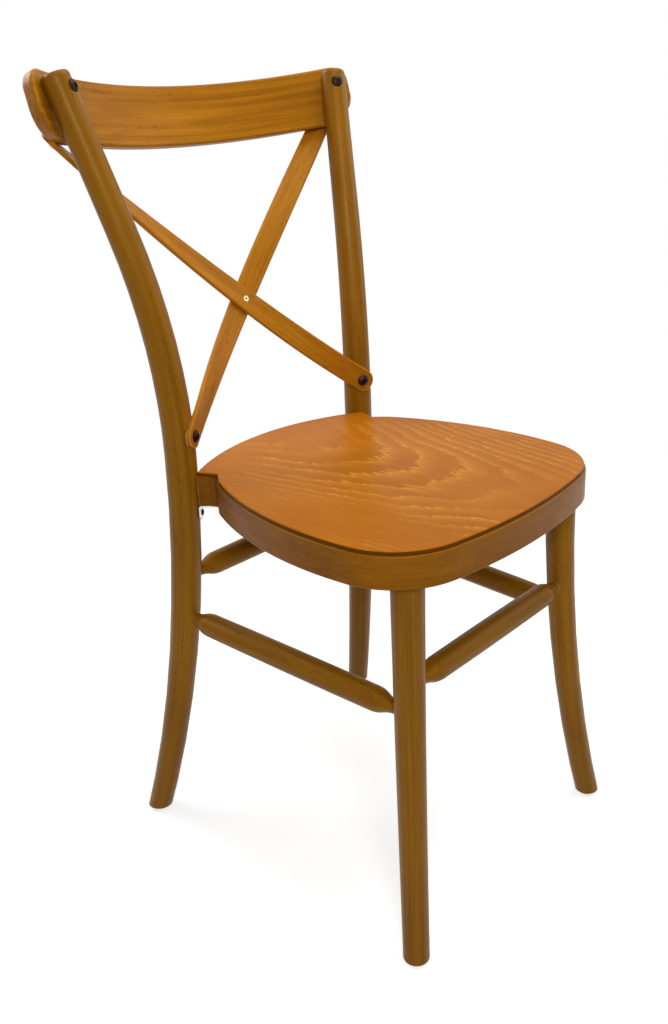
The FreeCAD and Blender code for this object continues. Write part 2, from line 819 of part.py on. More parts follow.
def seat_outline(inset, notched):
    """Closed outline as points and arcs, inset from the frame's outer face."""
    front = size("frame_front_radius") - inset
    corner = size("frame_corner_radius") - inset
    side = size("frame_side_radius") - inset
    rear = size("frame_rear_radius") - inset
    front_point = front_centre - Vector(0, front, 0)
    rear_point = rear_centre + Vector(0, rear, 0)
    first = corner_centre + (corner_centre - front_centre).normalize() * corner
    second = corner_centre + (corner_centre - side_centre).normalize() * corner
    half = [(arc_middle(front_centre, front, front_point, first), first)]
    half.append((arc_middle(corner_centre, corner, first, second), second))
    if notched:
        into, into_heading = shifted(notch_mouth, notch_floor, inset)
        out, out_heading = shifted(notch_floor, post_centre, inset)
        mouth = where_line_meets(into, into_heading * -1, side_centre, side)
        back_off = into - out
        rate = (back_off.x * out_heading.y - back_off.y * out_heading.x) / (
            into_heading.y * out_heading.x - into_heading.x * out_heading.y
        )
        floor = into + into_heading * rate
        tip = where_line_meets(floor, out_heading, rear_centre, rear)
        half.append((arc_middle(side_centre, side, second, mouth), mouth))
        half.append(floor)
        half.append(tip)
    else:
        tip = where_circles_meet(side_centre, side, rear_centre, rear, 1)
        half.append((arc_middle(side_centre, side, second, tip), tip))
    half.append((arc_middle(rear_centre, rear, tip, rear_point), rear_point))
    return front_point, half


def flip(point):
    return Vector(-point.x, point.y, point.z)


def with_mirror(half):
    """A half outline, followed backwards by its mirror image, as one closed loop."""
    ends = [item[1] if isinstance(item, tuple) else item for item in half]
    loop = list(half)
    loop.append(flip(ends[-1]))
    for number in range(len(half) - 1, 0, -1):
        item = half[number]
        target = flip(ends[number - 1])
        loop.append((flip(item[0]), target) if isinstance(item, tuple) else target)
    return loop


def whole_outline(inset, notched):
    start, half = seat_outline(inset, notched)
    return with_mirror([start] + half)


def upright_near(target, tolerance=1.5):
    """Test for the vertical edges over a plan point and over its mirror image."""

    def test(point):
        return math.hypot(abs(point.x) - target.x, point.y - target.y) < tolerance

    return test


seat_body = doc.addObject("PartDesign::Body", "SeatFrameRing")
ring_sketch = new_sketch(seat_body, "XY_Plane")
add_closed(ring_sketch, whole_outline(0.0, True))
add_closed(ring_sketch, whole_outline(size("frame_width"), False))
ring = seat_body.newObject("PartDesign::Pad", "RingPad")
ring.Profile = ring_sketch
bind(ring, Length="Sizes.frame_depth")
doc.recompute()
inner_side = size("frame_side_radius") - size("frame_width")
inner_rear = size("frame_rear_radius") - size("frame_width")
inner_corner = where_circles_meet(side_centre, inner_side, rear_centre, inner_rear, 1)
rounded(seat_body, edges_near(ring, upright_near(inner_corner)), "frame_inner_corner")
rounded(seat_body, edges_near(seat_body.Tip, upright_near(notch_mouth)), "notch_round")
rounded(seat_body, edges_near(seat_body.Tip, upright_near(notch_floor)), "notch_round")


def is_outer(point, height):
    """Whether a point lies on the outer rim at a height, judged by its distance inside the outline's arcs."""
    across = Vector(abs(point.x), point.y, 0)
    gaps = [
        abs((across - front_centre).Length - size("frame_front_radius")),
        abs((across - side_centre).Length - size("frame_side_radius")),
        abs((across - rear_centre).Length - size("frame_rear_radius")),
        abs((across - corner_centre).Length - size("frame_corner_radius")),
        (across - notch_floor).Length / 3,
    ]
    return abs(point.z - height) < TOUCH and min(gaps) < size("notch_round")


for height in (0.0, size("frame_depth")):
    names = edges_near(seat_body.Tip, lambda point: is_outer(point, height))
    rounded(seat_body, names, "frame_edge_round")
seat_body.Placement = Placement(Vector(0, 0, frame_bottom), Rotation())

panel_body = doc.addObject("PartDesign::Body", "seat_panel")
panel_sketch = new_sketch(panel_body, "XY_Plane")
add_closed(panel_sketch, whole_outline(size("panel_inset"), True))
panel = panel_body.newObject("PartDesign::Pad", "PanelPad")
panel.Profile = panel_sketch
bind(panel, Length="Sizes.panel_thickness")
doc.recompute()
top_edges = edges_near(panel, lambda point: abs(point.z - size("panel_thickness")) < TOUCH)
rounded(panel_body, top_edges, "panel_edge_round")
panel_body.Placement = Placement(Vector(0, 0, frame_top), Rotation())

frame_tools = []
panel_tools = []
for word, side in SIDES.items():
    # scoops that fit round the posts
    foot = Placement(Vector(side * size("post_half_span"), size("post_y"), frame_bottom - OVERRUN), Rotation())
    scoop_reach = "Sizes.frame_depth + %g" % (3 * OVERRUN)
    scoop_rule = "Sizes.post_seat_dia / 2 + Sizes.glue_gap"
    frame_tools.append(drill("FrameScoop" + word, foot, scoop_rule, scoop_reach))
    panel_tools.append(drill("PanelScoop" + word, foot, scoop_rule, scoop_reach))
    # mortises of the front legs' tenons
    mortise = Placement(leg_point(side, frame_bottom) - Vector(0, 0, 1), Rotation())
    mortise_reach = "Sizes.leg_tenon_length + 1 + Sizes.glue_gap"
    mortise_rule = "Sizes.leg_tenon_dia / 2 + Sizes.glue_gap"
    frame_tools.append(drill("LegMortise" + word, mortise, mortise_rule, mortise_reach))
    # dowel holes and bracket screw holes at the rear corners
    inward = corner_heading(side)
    middle = post_point(side, (frame_top + frame_bottom) / 2)
    dowel_end = "Sizes.dowel_length + Sizes.glue_gap"
    start = middle + inward * (radius_at(post_taper, middle.z) - size("dowel_in_post"))
    frame_tools.append(drill("FrameDowelHole" + word, turned_to(start, inward), dowel_rule, dowel_end))


# Crest rail: a curved board with rounded corners, housed for the slats' heads

rail_body = doc.addObject("PartDesign::Body", "CrestRailBoard")
band_sketch = new_sketch(rail_body, "XY_Plane")
inner = size("rail_radius")
outer = inner + size("rail_thickness")
bend_centre = Vector(0, -inner, 0)
half_turn = math.asin(size("rail_half_length") / inner) * 1.08


def on_bend(radius, turn):
    return bend_centre + Vector(math.sin(turn), math.cos(turn), 0) * radius


add_closed(
    band_sketch,
    [
        on_bend(inner, -half_turn),
        (on_bend(inner, 0.0), on_bend(inner, half_turn)),
        on_bend(outer, half_turn),
        (on_bend(outer, 0.0), on_bend(outer, -half_turn)),
    ],
)
band = rail_body.newObject("PartDesign::Pad", "BoardBand")
band.Profile = band_sketch
bind(band, Length="Sizes.rail_height")
end_sketch = new_sketch(rail_body, "XZ_Plane")
reach = size("rail_half_length") * 1.3
tall = size("rail_height")
add_closed(
    end_sketch,
    [
        Vector(-reach, -OVERRUN, 0),
        Vector(reach, -OVERRUN, 0),
        Vector(reach, tall + OVERRUN, 0),
        Vector(-reach, tall + OVERRUN, 0),
    ],
)
end_x = size("rail_half_length")
high_corner = size("rail_top_corner")
low_corner = size("rail_bottom_corner")
soft = 1 - math.sqrt(0.5)
board = [
    Vector(end_x - low_corner, 0, 0),
    (Vector(end_x - low_corner * soft, low_corner * soft, 0), Vector(end_x, low_corner, 0)),
    Vector(end_x, tall - high_corner, 0),
    (Vector(end_x - high_corner * soft, tall - high_corner * soft, 0), Vector(end_x - high_corner, tall, 0)),
]
add_closed(end_sketch, with_mirror(board))
ends = rail_body.newObject("PartDesign::Pocket", "BoardEnds")
ends.Profile = end_sketch
ends.Type = "ThroughAll"
ends.Midplane = True
doc.recompute()


def on_face(radius):
    """Test for the edges that lie on the bend at one radius."""

    def test(point):
        return abs(math.hypot(point.x, point.y - bend_centre.y) - radius) < 0.05

    return test


rounded(rail_body, edges_near(ends, on_face(inner)), "rail_front_round")
rounded(rail_body, edges_near(rail_body.Tip, on_face(outer)), "rail_back_round")
rail_body.Placement = rail_placement

rail_tools = []
bolt_rule = "Sizes.bolt_dia / 2 + Sizes.metal_gap"
slat_screw_rule = "Sizes.slat_screw_dia / 2 + Sizes.metal_gap"
for layer, word in ((1, "Front"), (-1, "Rear")):
    # housing of the slat's head: the strip's own shape, open toward the back
    head, heading, face = slat_head_frame(layer)
    housing = doc.addObject("Part::Cut", word + "SlatHousing")
    housing.Base = slat_strip(word + "SlatSpace", layer, size("glue_gap"))
    housing.Tool = nose_cut(word + "SpaceNose", head, heading, face, round_rule)
    rail_tools.append(housing)
    rail_tools.append(drill(word + "HousingRound", turned_to(head, face * -1), round_rule, "Sizes.post_seat_dia"))
    rail_tools.append(block_along(word + "HousingRun", head, (heading * -1, face * -1), 0.0))
for word, side in SIDES.items():
    normal = crest_bolt_normal(side)
    seat = crest_bolt_seat(side)
    deep = seat - normal * (size("crest_bolt_length") + 1)
    bore_reach = "Sizes.crest_bolt_length + 1"
    rail_tools.append(drill("RailBore" + word, turned_to(deep, normal), bolt_rule, bore_reach))
    back, normal = slat_screw_seat(side)
    pilot = turned_to(back - normal * (size("slat_thickness") + size("slat_screw_bite") + 1), normal)
    pilot_reach = "Sizes.slat_thickness + Sizes.slat_screw_bite + 1"
    rail_tools.append(drill("RailPilot" + word, pilot, slat_screw_rule, pilot_reach))

# Threaded inserts and bolts


def rail_meets(side):
    """Distance from the bolt's seat, along the bolt, to the rail's front face."""
    normal = crest_bolt_normal(side)
    seat = rail_placement.inverse().multVec(crest_bolt_seat(side))
    heading = rail_turn.inverted().multVec(normal * -1)
    flat_start = Vector(seat.x, seat.y, 0)
    flat_heading = Vector(heading.x, heading.y, 0)
    scale = flat_heading.Length
    hit = where_line_meets(flat_start, flat_heading.normalize(), bend_centre, size("rail_radius"))
    return (hit - flat_start).Length / scale


def sleeve(name, placement):
    """Threaded insert as a plain sleeve, its mouth at the placement and its length along local -Z."""
    bore = size("bolt_dia") / 2
    outside = size("insert_dia") / 2
    deep = size("insert_length")
    body = turned_body(
        name,
        [Vector(bore, 0, 0), Vector(bore, -deep, 0), Vector(outside, -deep, 0), Vector(outside, 0, 0)],
    )
    body.Placement = placement
    return body


def button_bolt(name, placement, length):
    """Domed bolt with a hexagonal socket; its head's underside is at the placement, its shank along local -Z."""
    shank = size("bolt_dia") / 2 - size("metal_gap")
    head = size("bolt_head_dia") / 2
    tall = size("bolt_head_height")
    rim = size("bolt_head_rim")
    rise = tall - rim
    dome = (head**2 + rise**2) / (2 * rise)
    mid = head / 2
    mid_height = tall - dome + math.sqrt(dome**2 - mid**2)
    body = turned_body(
        name,
        [
            Vector(0, -length, 0),
            Vector(shank, -length, 0),
            Vector(shank, 0, 0),
            Vector(head, 0, 0),
            Vector(head, rim, 0),
            (Vector(mid, mid_height, 0), Vector(0, tall, 0)),
        ],
    )
    across = size("bolt_socket") / math.sqrt(3)
    sketch = new_sketch(body, "XY_Plane", Placement(Vector(0, 0, tall), Rotation()))
    corners = [Vector(math.cos(k * math.pi / 3), math.sin(k * math.pi / 3), 0) * across for k in range(6)]
    add_closed(sketch, corners)
    doc.recompute()
    socket = body.newObject("PartDesign::Pocket", name + "Socket")
    socket.Profile = sketch
    bind(socket, Length="Sizes.bolt_socket_depth")
    body.Placement = placement
    return body


crest_bolts = []
crest_inserts = []
slat_bolts = []
slat_inserts = []
for word, side in SIDES.items():
    normal = crest_bolt_normal(side)
    seat = crest_bolt_seat(side)
    crest_bolts.append(button_bolt("CrestBolt" + word, turned_to(seat, normal), size("crest_bolt_length")))
    mouth = seat - normal * (rail_meets(side) + size("insert_sink"))
    crest_inserts.append(sleeve("CrestInsert" + word, turned_to(mouth, normal)))
    clear = mouth - normal * (size("insert_length") + size("metal_gap"))
    insert_hole = turned_to(clear, normal)
    rail_tools.append(drill("RailInsertHole" + word, insert_hole, insert_rule, "Sizes.insert_length + 4"))
    seat, normal = slat_bolt_seat(side)
    length = size("slat_bolt_length") + size("slat_thickness")
    slat_bolts.append(button_bolt("SlatBolt" + word, turned_to(seat, normal), length))
    mouth = seat - normal * (size("slat_thickness") + size("insert_sink"))
    slat_inserts.append(sleeve("SlatInsert" + word, turned_to(mouth, normal)))
gather("crest_bolts", crest_bolts)
gather("crest_inserts", crest_inserts)
gather("slat_bolts", slat_bolts)
gather("slat_inserts", slat_inserts)
carve("crest_rail", rail_body, rail_tools)

# Slats: the strip gets a round foot and head and its three holes


through = "%g" % (2 * OVERRUN)
rivet_face = crossing_face()
rivet_centre = slat_line(crossing)
for layer, word in ((1, "front"), (-1, "rear")):
    foot, foot_heading, foot_face = slat_foot_frame(layer)
    head, head_heading, head_face = slat_head_frame(layer)
    foot_line = turned_to(foot - foot_face * OVERRUN, foot_face)
    rivet_line = turned_to(rivet_centre - rivet_face * OVERRUN, rivet_face)
    screw_line = turned_to(head - head_face * OVERRUN, head_face)
    cuts = [
        nose_cut("FootNose" + word, foot, foot_heading * -1, foot_face, "Sizes.slat_width / 2"),
        nose_cut("HeadNose" + word, head, head_heading, head_face, "Sizes.slat_width / 2"),
        drill("SlatFootHole" + word, foot_line, bolt_rule, through),
        drill("SlatRivetHole" + word, rivet_line, "Sizes.rivet_dia / 2 + Sizes.metal_gap", through),
        drill("SlatScrewHole" + word, screw_line, slat_screw_rule, through),
    ]
    carve("cross_slat_" + word, slat_strip("Slat" + word, layer), cuts)

# Rivet through both slats
bore = size("rivet_bore") / 2
barrel = size("rivet_dia") / 2
flange = size("rivet_flange_dia") / 2
thick = size("rivet_flange")
reach = size("slat_thickness") + size("slat_gap") / 2
rivet = turned_body(
    "slat_rivet",
    [
        Vector(bore, -reach - thick, 0),
        Vector(flange, -reach - thick, 0),
        Vector(flange, -reach, 0),
        Vector(barrel, -reach, 0),
        Vector(barrel, reach, 0),
        Vector(flange, reach, 0),
        Vector(flange, reach + thick, 0),
        Vector(bore, reach + thick, 0),
    ],
)
rivet.Placement = turned_to(rivet_centre, rivet_face)


def wood_screw(name, placement, dia, head_dia, head_height, length):
    """Screw with a domed head whose underside is at the placement, its shank along local -Z."""
    shank = dia / 2
    head = head_dia / 2
    tip = dia
    dome = (head**2 + head_height**2) / (2 * head_height)
    mid = head / 2
    mid_height = head_height - dome + math.sqrt(dome**2 - mid**2)
    body = turned_body(
        name,
        [
            Vector(0, -length, 0),
            Vector(shank, tip - length, 0),
            Vector(shank, 0, 0),
            Vector(head, 0, 0),
            (Vector(mid, mid_height, 0), Vector(0, head_height, 0)),
        ],
    )
    body.Placement = placement
    return body


slat_screws = []
bracket_screws = []
dowels = []
for word, side in SIDES.items():
    back, normal = slat_screw_seat(side)
    slat_screws.append(
        wood_screw(
            "SlatScrew" + word,
            turned_to(back, normal),
            size("slat_screw_dia"),
            size("slat_screw_head_dia"),
            size("slat_screw_head_height"),
            size("slat_thickness") + size("slat_screw_bite"),
        )
    )
    # bracket on the post's inner front, its run under the seat frame
    inward = corner_heading(side)
    thick = size("bracket_thickness")
    run = size("bracket_run")
    drop = size("bracket_drop")
    bend = size("bracket_bend_radius")
    inner_bend = bend - thick / 2
    high = post_point(side, frame_bottom)
    high_gap = (Vector(side * size("post_half_span"), size("post_y"), frame_bottom) - high).dot(inward)
    face_reach = radius_at(post_taper, frame_bottom) - high_gap + size("metal_gap")
    bracket = doc.addObject("PartDesign::Body", "seat_bracket_" + word)
    bracket.Label = "seat_bracket_" + word
    sketch = new_sketch(bracket, "XZ_Plane")
    turn_out = thick + inner_bend
    diagonal = math.sqrt(0.5)
    add_closed(
        sketch,
        [
            Vector(0, -drop, 0),
            Vector(thick, -drop, 0),
            Vector(thick, -turn_out, 0),
            (
                Vector(turn_out - inner_bend * diagonal, -turn_out + inner_bend * diagonal, 0),
                Vector(turn_out, -thick, 0),
            ),
            Vector(run, -thick, 0),
            Vector(run, 0, 0),
            Vector(turn_out, 0, 0),
            (Vector(turn_out - turn_out * diagonal, -turn_out + turn_out * diagonal, 0), Vector(0, -turn_out, 0)),
        ],
    )
    plate = bracket.newObject("PartDesign::Pad", bracket.Name + "Plate")
    plate.Profile = sketch
    plate.Midplane = True
    bind(plate, Length="Sizes.bracket_width")
    doc.recompute()
    half = size("bracket_width") / 2

    def plate_corner(point):
        at_low_end = abs(point.z + drop) < TOUCH
        at_far_end = abs(point.x - run) < TOUCH
        return abs(abs(point.y) - half) < TOUCH and (at_low_end or at_far_end)

    rounded(bracket, edges_near(plate, plate_corner), "bracket_end_round")
    for number, (role, place) in enumerate(
        (
            ("YZ_Plane", Vector(0, -size("bracket_post_screw_drop"), 0)),
            ("XY_Plane", Vector(size("bracket_seat_screw_run"), 0, 0)),
        )
    ):
        hole_sketch = new_sketch(bracket, role)
        radius = size("bracket_screw_dia") / 2 + size("metal_gap")
        hole_sketch.addGeometry(Part.Circle(place, Vector(0, 0, 1), radius), False)
        hole = bracket.newObject("PartDesign::Pocket", "%sHole%d" % (bracket.Name, number))
        hole.Profile = hole_sketch
        hole.Midplane = True
        hole.Length = 4 * thick
        doc.recompute()
    swing = math.degrees(math.atan2(inward.y, inward.x))
    corner = Vector(side * size("post_half_span"), size("post_y"), frame_bottom) + inward * face_reach
    bracket.Placement = Placement(corner, Rotation(Vector(0, 0, 1), swing))
    post_screw = corner + inward * thick - Vector(0, 0, size("bracket_post_screw_drop"))
    seat_screw = corner + inward * size("bracket_seat_screw_run") - Vector(0, 0, thick)
    down = Vector(0, 0, -1)
    for spot, outward, where in ((post_screw, inward, "Post"), (seat_screw, down, "Seat")):
        bracket_screws.append(
            wood_screw(
                "BracketScrew" + where + word,
                turned_to(spot, outward),
                size("bracket_screw_dia"),
                size("bracket_screw_head_dia"),
                size("bracket_screw_head_height"),
                size("bracket_screw_length"),
            )
        )
    frame_tools.append(
        drill(
            "FrameScrewHole" + word,
            turned_to(seat_screw, Vector(0, 0, 1)),
            "Sizes.bracket_screw_dia / 2 + Sizes.metal_gap",
            "Sizes.bracket_screw_length + Sizes.metal_gap",
        )
    )
    middle = post_point(side, (frame_top + frame_bottom) / 2)
    start = middle + inward * (radius_at(post_taper, middle.z) - size("dowel_in_post"))
    dowels.append(drill("Dowel" + word, turned_to(start, inward), "Sizes.dowel_dia / 2", "Sizes.dowel_length"))
gather("slat_screws", slat_screws)
gather("bracket_screws", bracket_screws)
gather("seat_dowels", dowels)
carve("seat_frame", seat_body, frame_tools)
carve("seat_panel", panel_body, panel_tools)

# Glides and their nails under the four feet
glides = []
nails = []
for side in SIDES.values():
    for where, point in (("Post", post_point), ("Leg", leg_point)):
        foot = point(side, size("glide_height"))
        name = "%s%s" % (where, "Left" if side > 0 else "Right")
        outside = size("glide_dia") / 2
        tall = size("glide_height")
        recess = size("glide_nail_recess")
        head = size("glide_nail_head_dia") / 2 + size("metal_gap")
        bore = size("glide_nail_dia") / 2 + size("metal_gap")
        edge = tall / 4
        glide = turned_body(
            "Glide" + name,
            [
                Vector(head, -tall, 0),
                Vector(outside - edge, -tall, 0),
                Vector(outside, edge - tall, 0),
                Vector(outside, 0, 0),
                Vector(bore, 0, 0),
                Vector(bore, recess + size("glide_nail_head_height") - tall, 0),
                Vector(head, recess + size("glide_nail_head_height") - tall, 0),
            ],
        )
        glide.Placement = Placement(foot, Rotation())
        glides.append(glide)
        head = size("glide_nail_head_dia") / 2
        shank = size("glide_nail_dia") / 2
        under = recess + size("glide_nail_head_height") - tall
        nail = turned_body(
            "Nail" + name,
            [
                Vector(0, recess - tall, 0),
                Vector(head, recess - tall, 0),
                Vector(head, under, 0),
                Vector(shank, under, 0),
                Vector(shank, under + size("glide_nail_length") - 2, 0),
                Vector(0, under + size("glide_nail_length"), 0),
            ],
        )
        nail.Placement = Placement(foot, Rotation())
        nails.append(nail)
gather("foot_glides", glides)
gather("glide_nails", nails)

doc.recompute()

NODES = [
    "rear_post_right",
    "rear_post_left",
    "front_leg_right",
    "front_leg_left",
    "seat_frame",
    "seat_panel",
    "crest_rail",
    "cross_slat_front",
    "cross_slat_rear",
    "slat_rivet",
    "side_stretcher_right",
    "side_stretcher_left",
    "front_stretcher",
    "rear_stretcher",
    "crest_bolts",
    "crest_inserts",
    "slat_bolts",
    "slat_inserts",
    "slat_screws",
    "seat_dowels",
    "seat_bracket_right",
    "seat_bracket_left",
    "bracket_screws",
    "foot_glides",
    "glide_nails",
]
failed = [item.Name for item in doc.Objects if {"Invalid", "Error"} & set(item.State)]
if failed:
    raise RuntimeError("not built: " + ", ".join(failed))
pieces = {}
for item in doc.Objects:
    if item.Label in NODES:
        pieces[item.Label] = item
for node in NODES:
    shape = pieces[node].Shape
    if shape.isNull() or not shape.isValid() or shape.Volume <= 0:
        raise RuntimeError("bad shape: " + node)
    shape.exportStep("parts/%s.step" % node)
    box = shape.BoundBox
    print("%-22s %10.0f mm3  %d solid  y %.1f %.1f" % (node, shape.Volume, len(shape.Solids), box.YMin, box.YMax))
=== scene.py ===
"""Looks of a cross back dining chair: stained beech, plywood seat, steel and brass fittings."""

import math
from functools import partial

import bmesh
import bpy
import numpy as np
from bpy.props import FloatProperty, FloatVectorProperty, IntProperty, PointerProperty
from bpy.types import Operator, Panel, PropertyGroup
from mathutils import Matrix, Vector


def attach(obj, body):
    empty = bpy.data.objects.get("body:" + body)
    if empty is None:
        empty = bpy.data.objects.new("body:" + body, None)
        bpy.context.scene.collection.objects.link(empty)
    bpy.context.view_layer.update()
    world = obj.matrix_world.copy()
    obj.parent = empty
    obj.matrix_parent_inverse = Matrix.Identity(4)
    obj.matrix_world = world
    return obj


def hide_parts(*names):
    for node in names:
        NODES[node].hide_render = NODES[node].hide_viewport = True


bl_info = {
    "name": "Cross Back Chair",
    "version": (1, 0, 0),
    "blender": (4, 5, 0),
    "location": "View3D > Sidebar > Chair",
    "description": "Finishes, fasteners and stage of a cross back dining chair",
    "category": "Object",
}

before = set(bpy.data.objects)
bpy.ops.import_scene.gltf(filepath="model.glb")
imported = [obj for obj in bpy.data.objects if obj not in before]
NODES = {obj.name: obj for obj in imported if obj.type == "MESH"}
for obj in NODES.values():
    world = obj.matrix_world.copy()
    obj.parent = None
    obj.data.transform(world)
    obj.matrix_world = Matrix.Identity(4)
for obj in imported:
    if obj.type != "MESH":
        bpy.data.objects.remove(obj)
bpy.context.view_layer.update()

# Lengths are in metres and angles in degrees. Those of the chair repeat the CAD's.
# Bent rods: half the span of a pair, depth, and splay of the plane that each bends in, then the
# height at which the foot's curve ends and how far the foot stands out
POST_HALF_SPAN = 0.149
POST_DEPTH = 0.0985
POST_SPLAY = 53.9
POST_BEND = 0.480
POST_FOOT_OFFSET = 0.071
LEG_HALF_SPAN = 0.1397
LEG_DEPTH = -0.220
LEG_SPLAY = -43.1
LEG_TOP = 0.4187
LEG_FOOT_OFFSET = 0.050
# The posts' backward bend above the seat
POST_UPPER_RADIUS = 0.780
POST_UPPER_BEND = 18.3
POST_TOP = 0.880
# Crest rail: middle of its lower front edge, tilt, and radius of its hollow face
RAIL_FOOT = (0.0, 0.2274, 0.7999)
RAIL_TILT = 16.3
RAIL_RADIUS = 0.375
# Slats: foot and head of the one that rises to the left post
SLAT_FOOT = (-0.142, 0.086, 0.5018)
SLAT_HEAD = (0.187, 0.1942, 0.8022)
# Seat: mean radius and middle of the frame's ring, height of one light and one dark ply
RING_RADIUS = 0.19
RING_MIDDLE_Y = -0.07
PLY_PAIR = 0.00125

# Noises of the grain: frequency across, through and along the wood per metre, then detail,
# roughness and offset
GRAIN_NOISES = {
    "warp": ((9.0, 9.0, 1.6), 2.0),
    "ripple": ((70.0, 70.0, 4.0), 2.0),
    "streak": ((150.0, 150.0, 3.2), 4.0, 0.6),
    "fine": ((1300.0, 1300.0, 16.0), 3.0, 0.6, (3.0, 1.0, 0.0)),
    "cloud": ((17.0, 17.0, 6.0), 3.0, 0.5, (0.0, 5.0, 2.0)),
    "fleck": ((820.0, 820.0, 120.0), 1.0, 0.4, (7.0, 0.0, 4.0)),
    "patch": ((60.0, 60.0, 14.0), 1.0, 0.5, (1.0, 8.0, 4.0)),
}
# Noises of the seat's veneer, in X and Y
VENEER_NOISES = {
    "drift": ((7.0, 3.4, 1.0), 2.0, 0.5, (2.3, 0.4, 0.0)),
    "comb": ((260.0, 8.0, 1.0), 4.0, 0.62),
    "wobble": ((75.0, 11.0, 1.0), 3.0, 0.6, (5.0, 3.0, 0.0)),
    "gate": ((11.0, 5.0, 1.0), 2.0, 0.5, (9.0, 2.0, 0.0)),
    "hair": ((900.0, 14.0, 1.0), 4.0, 0.6, (4.0, 0.0, 0.0)),
    "cloud": ((10.0, 6.0, 1.0), 3.0, 0.5, (0.0, 6.0, 0.0)),
}

# Growth rings: how far the noises move them, how they drift along the wood, and the shares of a
# ring where its early wood ends and its late wood starts
RING_WARP = 0.035
RING_RIPPLE = 0.0022
RING_CONE = 0.012
EARLY_END, LATE_START = 0.82, 0.86
RING_MIDDLE = 0.6
# What a seed, and the side of the chair, add to a place in the wood so that pieces differ
SEED_SHIFT = 0.37
SIDE_SHIFT = 1.7
# Weights of the noises in the grain's shade
STREAK_SHARE, FINE_SHARE, CLOUD_SHARE = 2.0, 0.9, 2.4
# Flecks: they stand where the noise is above a limit, which patches raise and lower
FLECK_LIMIT, FLECK_REACH, FLECK_PATCH, FLECK_SOFT = 0.80, 0.13, 0.25, 0.06
FLECK_DEPTH = -0.6
# Veneer: shares of one turn of the figure where its glow starts, and its bright line starts, is
# full and ends, their weights, where the figure fades in, and the weights in its shade
GLOW_START, LINE_START, LINE_FULL, LINE_END = 0.35, 0.84, 0.96, 0.965
GLOW_SHARE, LINE_SHARE = 0.35, 0.65
GATE_LOW, GATE_HIGH = 0.38, 0.62
WOBBLE_REACH = 0.055
HAIR_SHARE, VENEER_CLOUD_SHARE, TURN_SHARE = 0.9, 1.3, 0.16

# Lacquer: tint of its shine, and shine of rails and slats, posts and legs, and seat panel
LACQUER_TINT = (1.0, 0.74, 0.34, 1.0)
BOARD_SHINE, ROD_SHINE, SEAT_SHINE = 0.16, 0.24, 0.06
# Dark grain beside the stain in red, green and blue
DARK_WOOD = (1.0, 0.88, 0.6)
DARK_VENEER = (1.0, 0.92, 0.6)
SEAT_LIGHT, SEAT_DARK = 1.12, 0.74
PLY_LIGHT, PLY_DARK = 1.25, 0.7
FLECK_SHARE, STREAK_COLOUR_SHARE, TARNISH_SHARE = 0.55, 0.72, 0.5
# Roughness of the lacquer: added to all, then by shade and by flecks
WOOD_ROUGH, WOOD_ROUGH_SHADE, WOOD_ROUGH_FLECKS = 0.06, -0.10, 0.12
SEAT_ROUGH, SEAT_ROUGH_SHADE = 0.05, -0.08
METAL_ROUGH_TARNISH, METAL_ROUGH_SCRATCHES = 0.14, 0.08
# Upward part of the normal where the panel's face turns into its side
SIDE_FULL, SIDE_START = 0.30, 0.62
# Upward part of the normal where the painted highlight on the panel's top edge starts and is full
HIGHLIGHT_TOP_START, HIGHLIGHT_TOP_FULL = 0.55, 0.75
# Width of the pale edges, part rubbed stain and part painted highlight along the rounded edges, on
# rods, stretchers, boards, slats and the panel, and their unevenness
ROD_EDGE, STRETCHER_EDGE, BOARD_EDGE = 0.0016, 0.0012, 0.0020
SLAT_EDGE, PANEL_EDGE = 0.0026, 0.0010
EDGE_NOISE = ((90.0, 90.0, 90.0), 2.0)
EDGE_LEAST = 0.45
TARNISH_NOISE = ((240.0, 240.0, 240.0), 3.0)

# Screws: faces round and along, shares of the length of the profile where its parts meet,
# and the thread's floor in shares of its height
SCREW_AROUND, SCREW_ROWS = 24, 96
HEAD_END, NECK_END, POINT_START = 0.18, 0.22, 0.88
THREAD_START, THREAD_FULL, THREAD_FADE, THREAD_END = 0.30, 0.34, 0.90, 0.97
THREAD_FLOOR = 0.75
RECESS_BLADE = 0.24
SCREW_WELD = 0.000012
CREASE = 35.0
# Tolerances in reading the CAD's fasteners
CAD_WELD = 1e-6
RIM_REACH = 1e-5

# Stage: place and width of each lamp, the point they face, and the floor's tones and fade
LAMPS = {
    "key": ((-1.35, -1.45, 1.7), 0.8),
    "top": ((0.45, -0.25, 2.3), 1.5),
    "fill": ((1.7, -0.9, 1.2), 1.4),
    "back": ((-0.5, 1.9, 1.7), 1.4),
}
LAMP_TARGET = (0.0, -0.05, 0.45)
WHITE = (1.0, 1.0, 1.0, 1.0)
FLOOR_TONES = ((0.58, 0.58, 0.57, 1.0), (0.62, 0.62, 0.61, 1.0))
FLOOR_SPECKLE = (30.0, 30.0, 30.0)
FLOOR_LIFT = 0.60
FADE_START, FADE_END = 0.5, 1.5
FLOOR_DROP = 0.0005
SENSOR_WIDTH = 36.0
CAMERA_SHIFT = (-0.0447, -0.0482)
CLIP_START, CLIP_END = 0.01, 50.0


# Node building

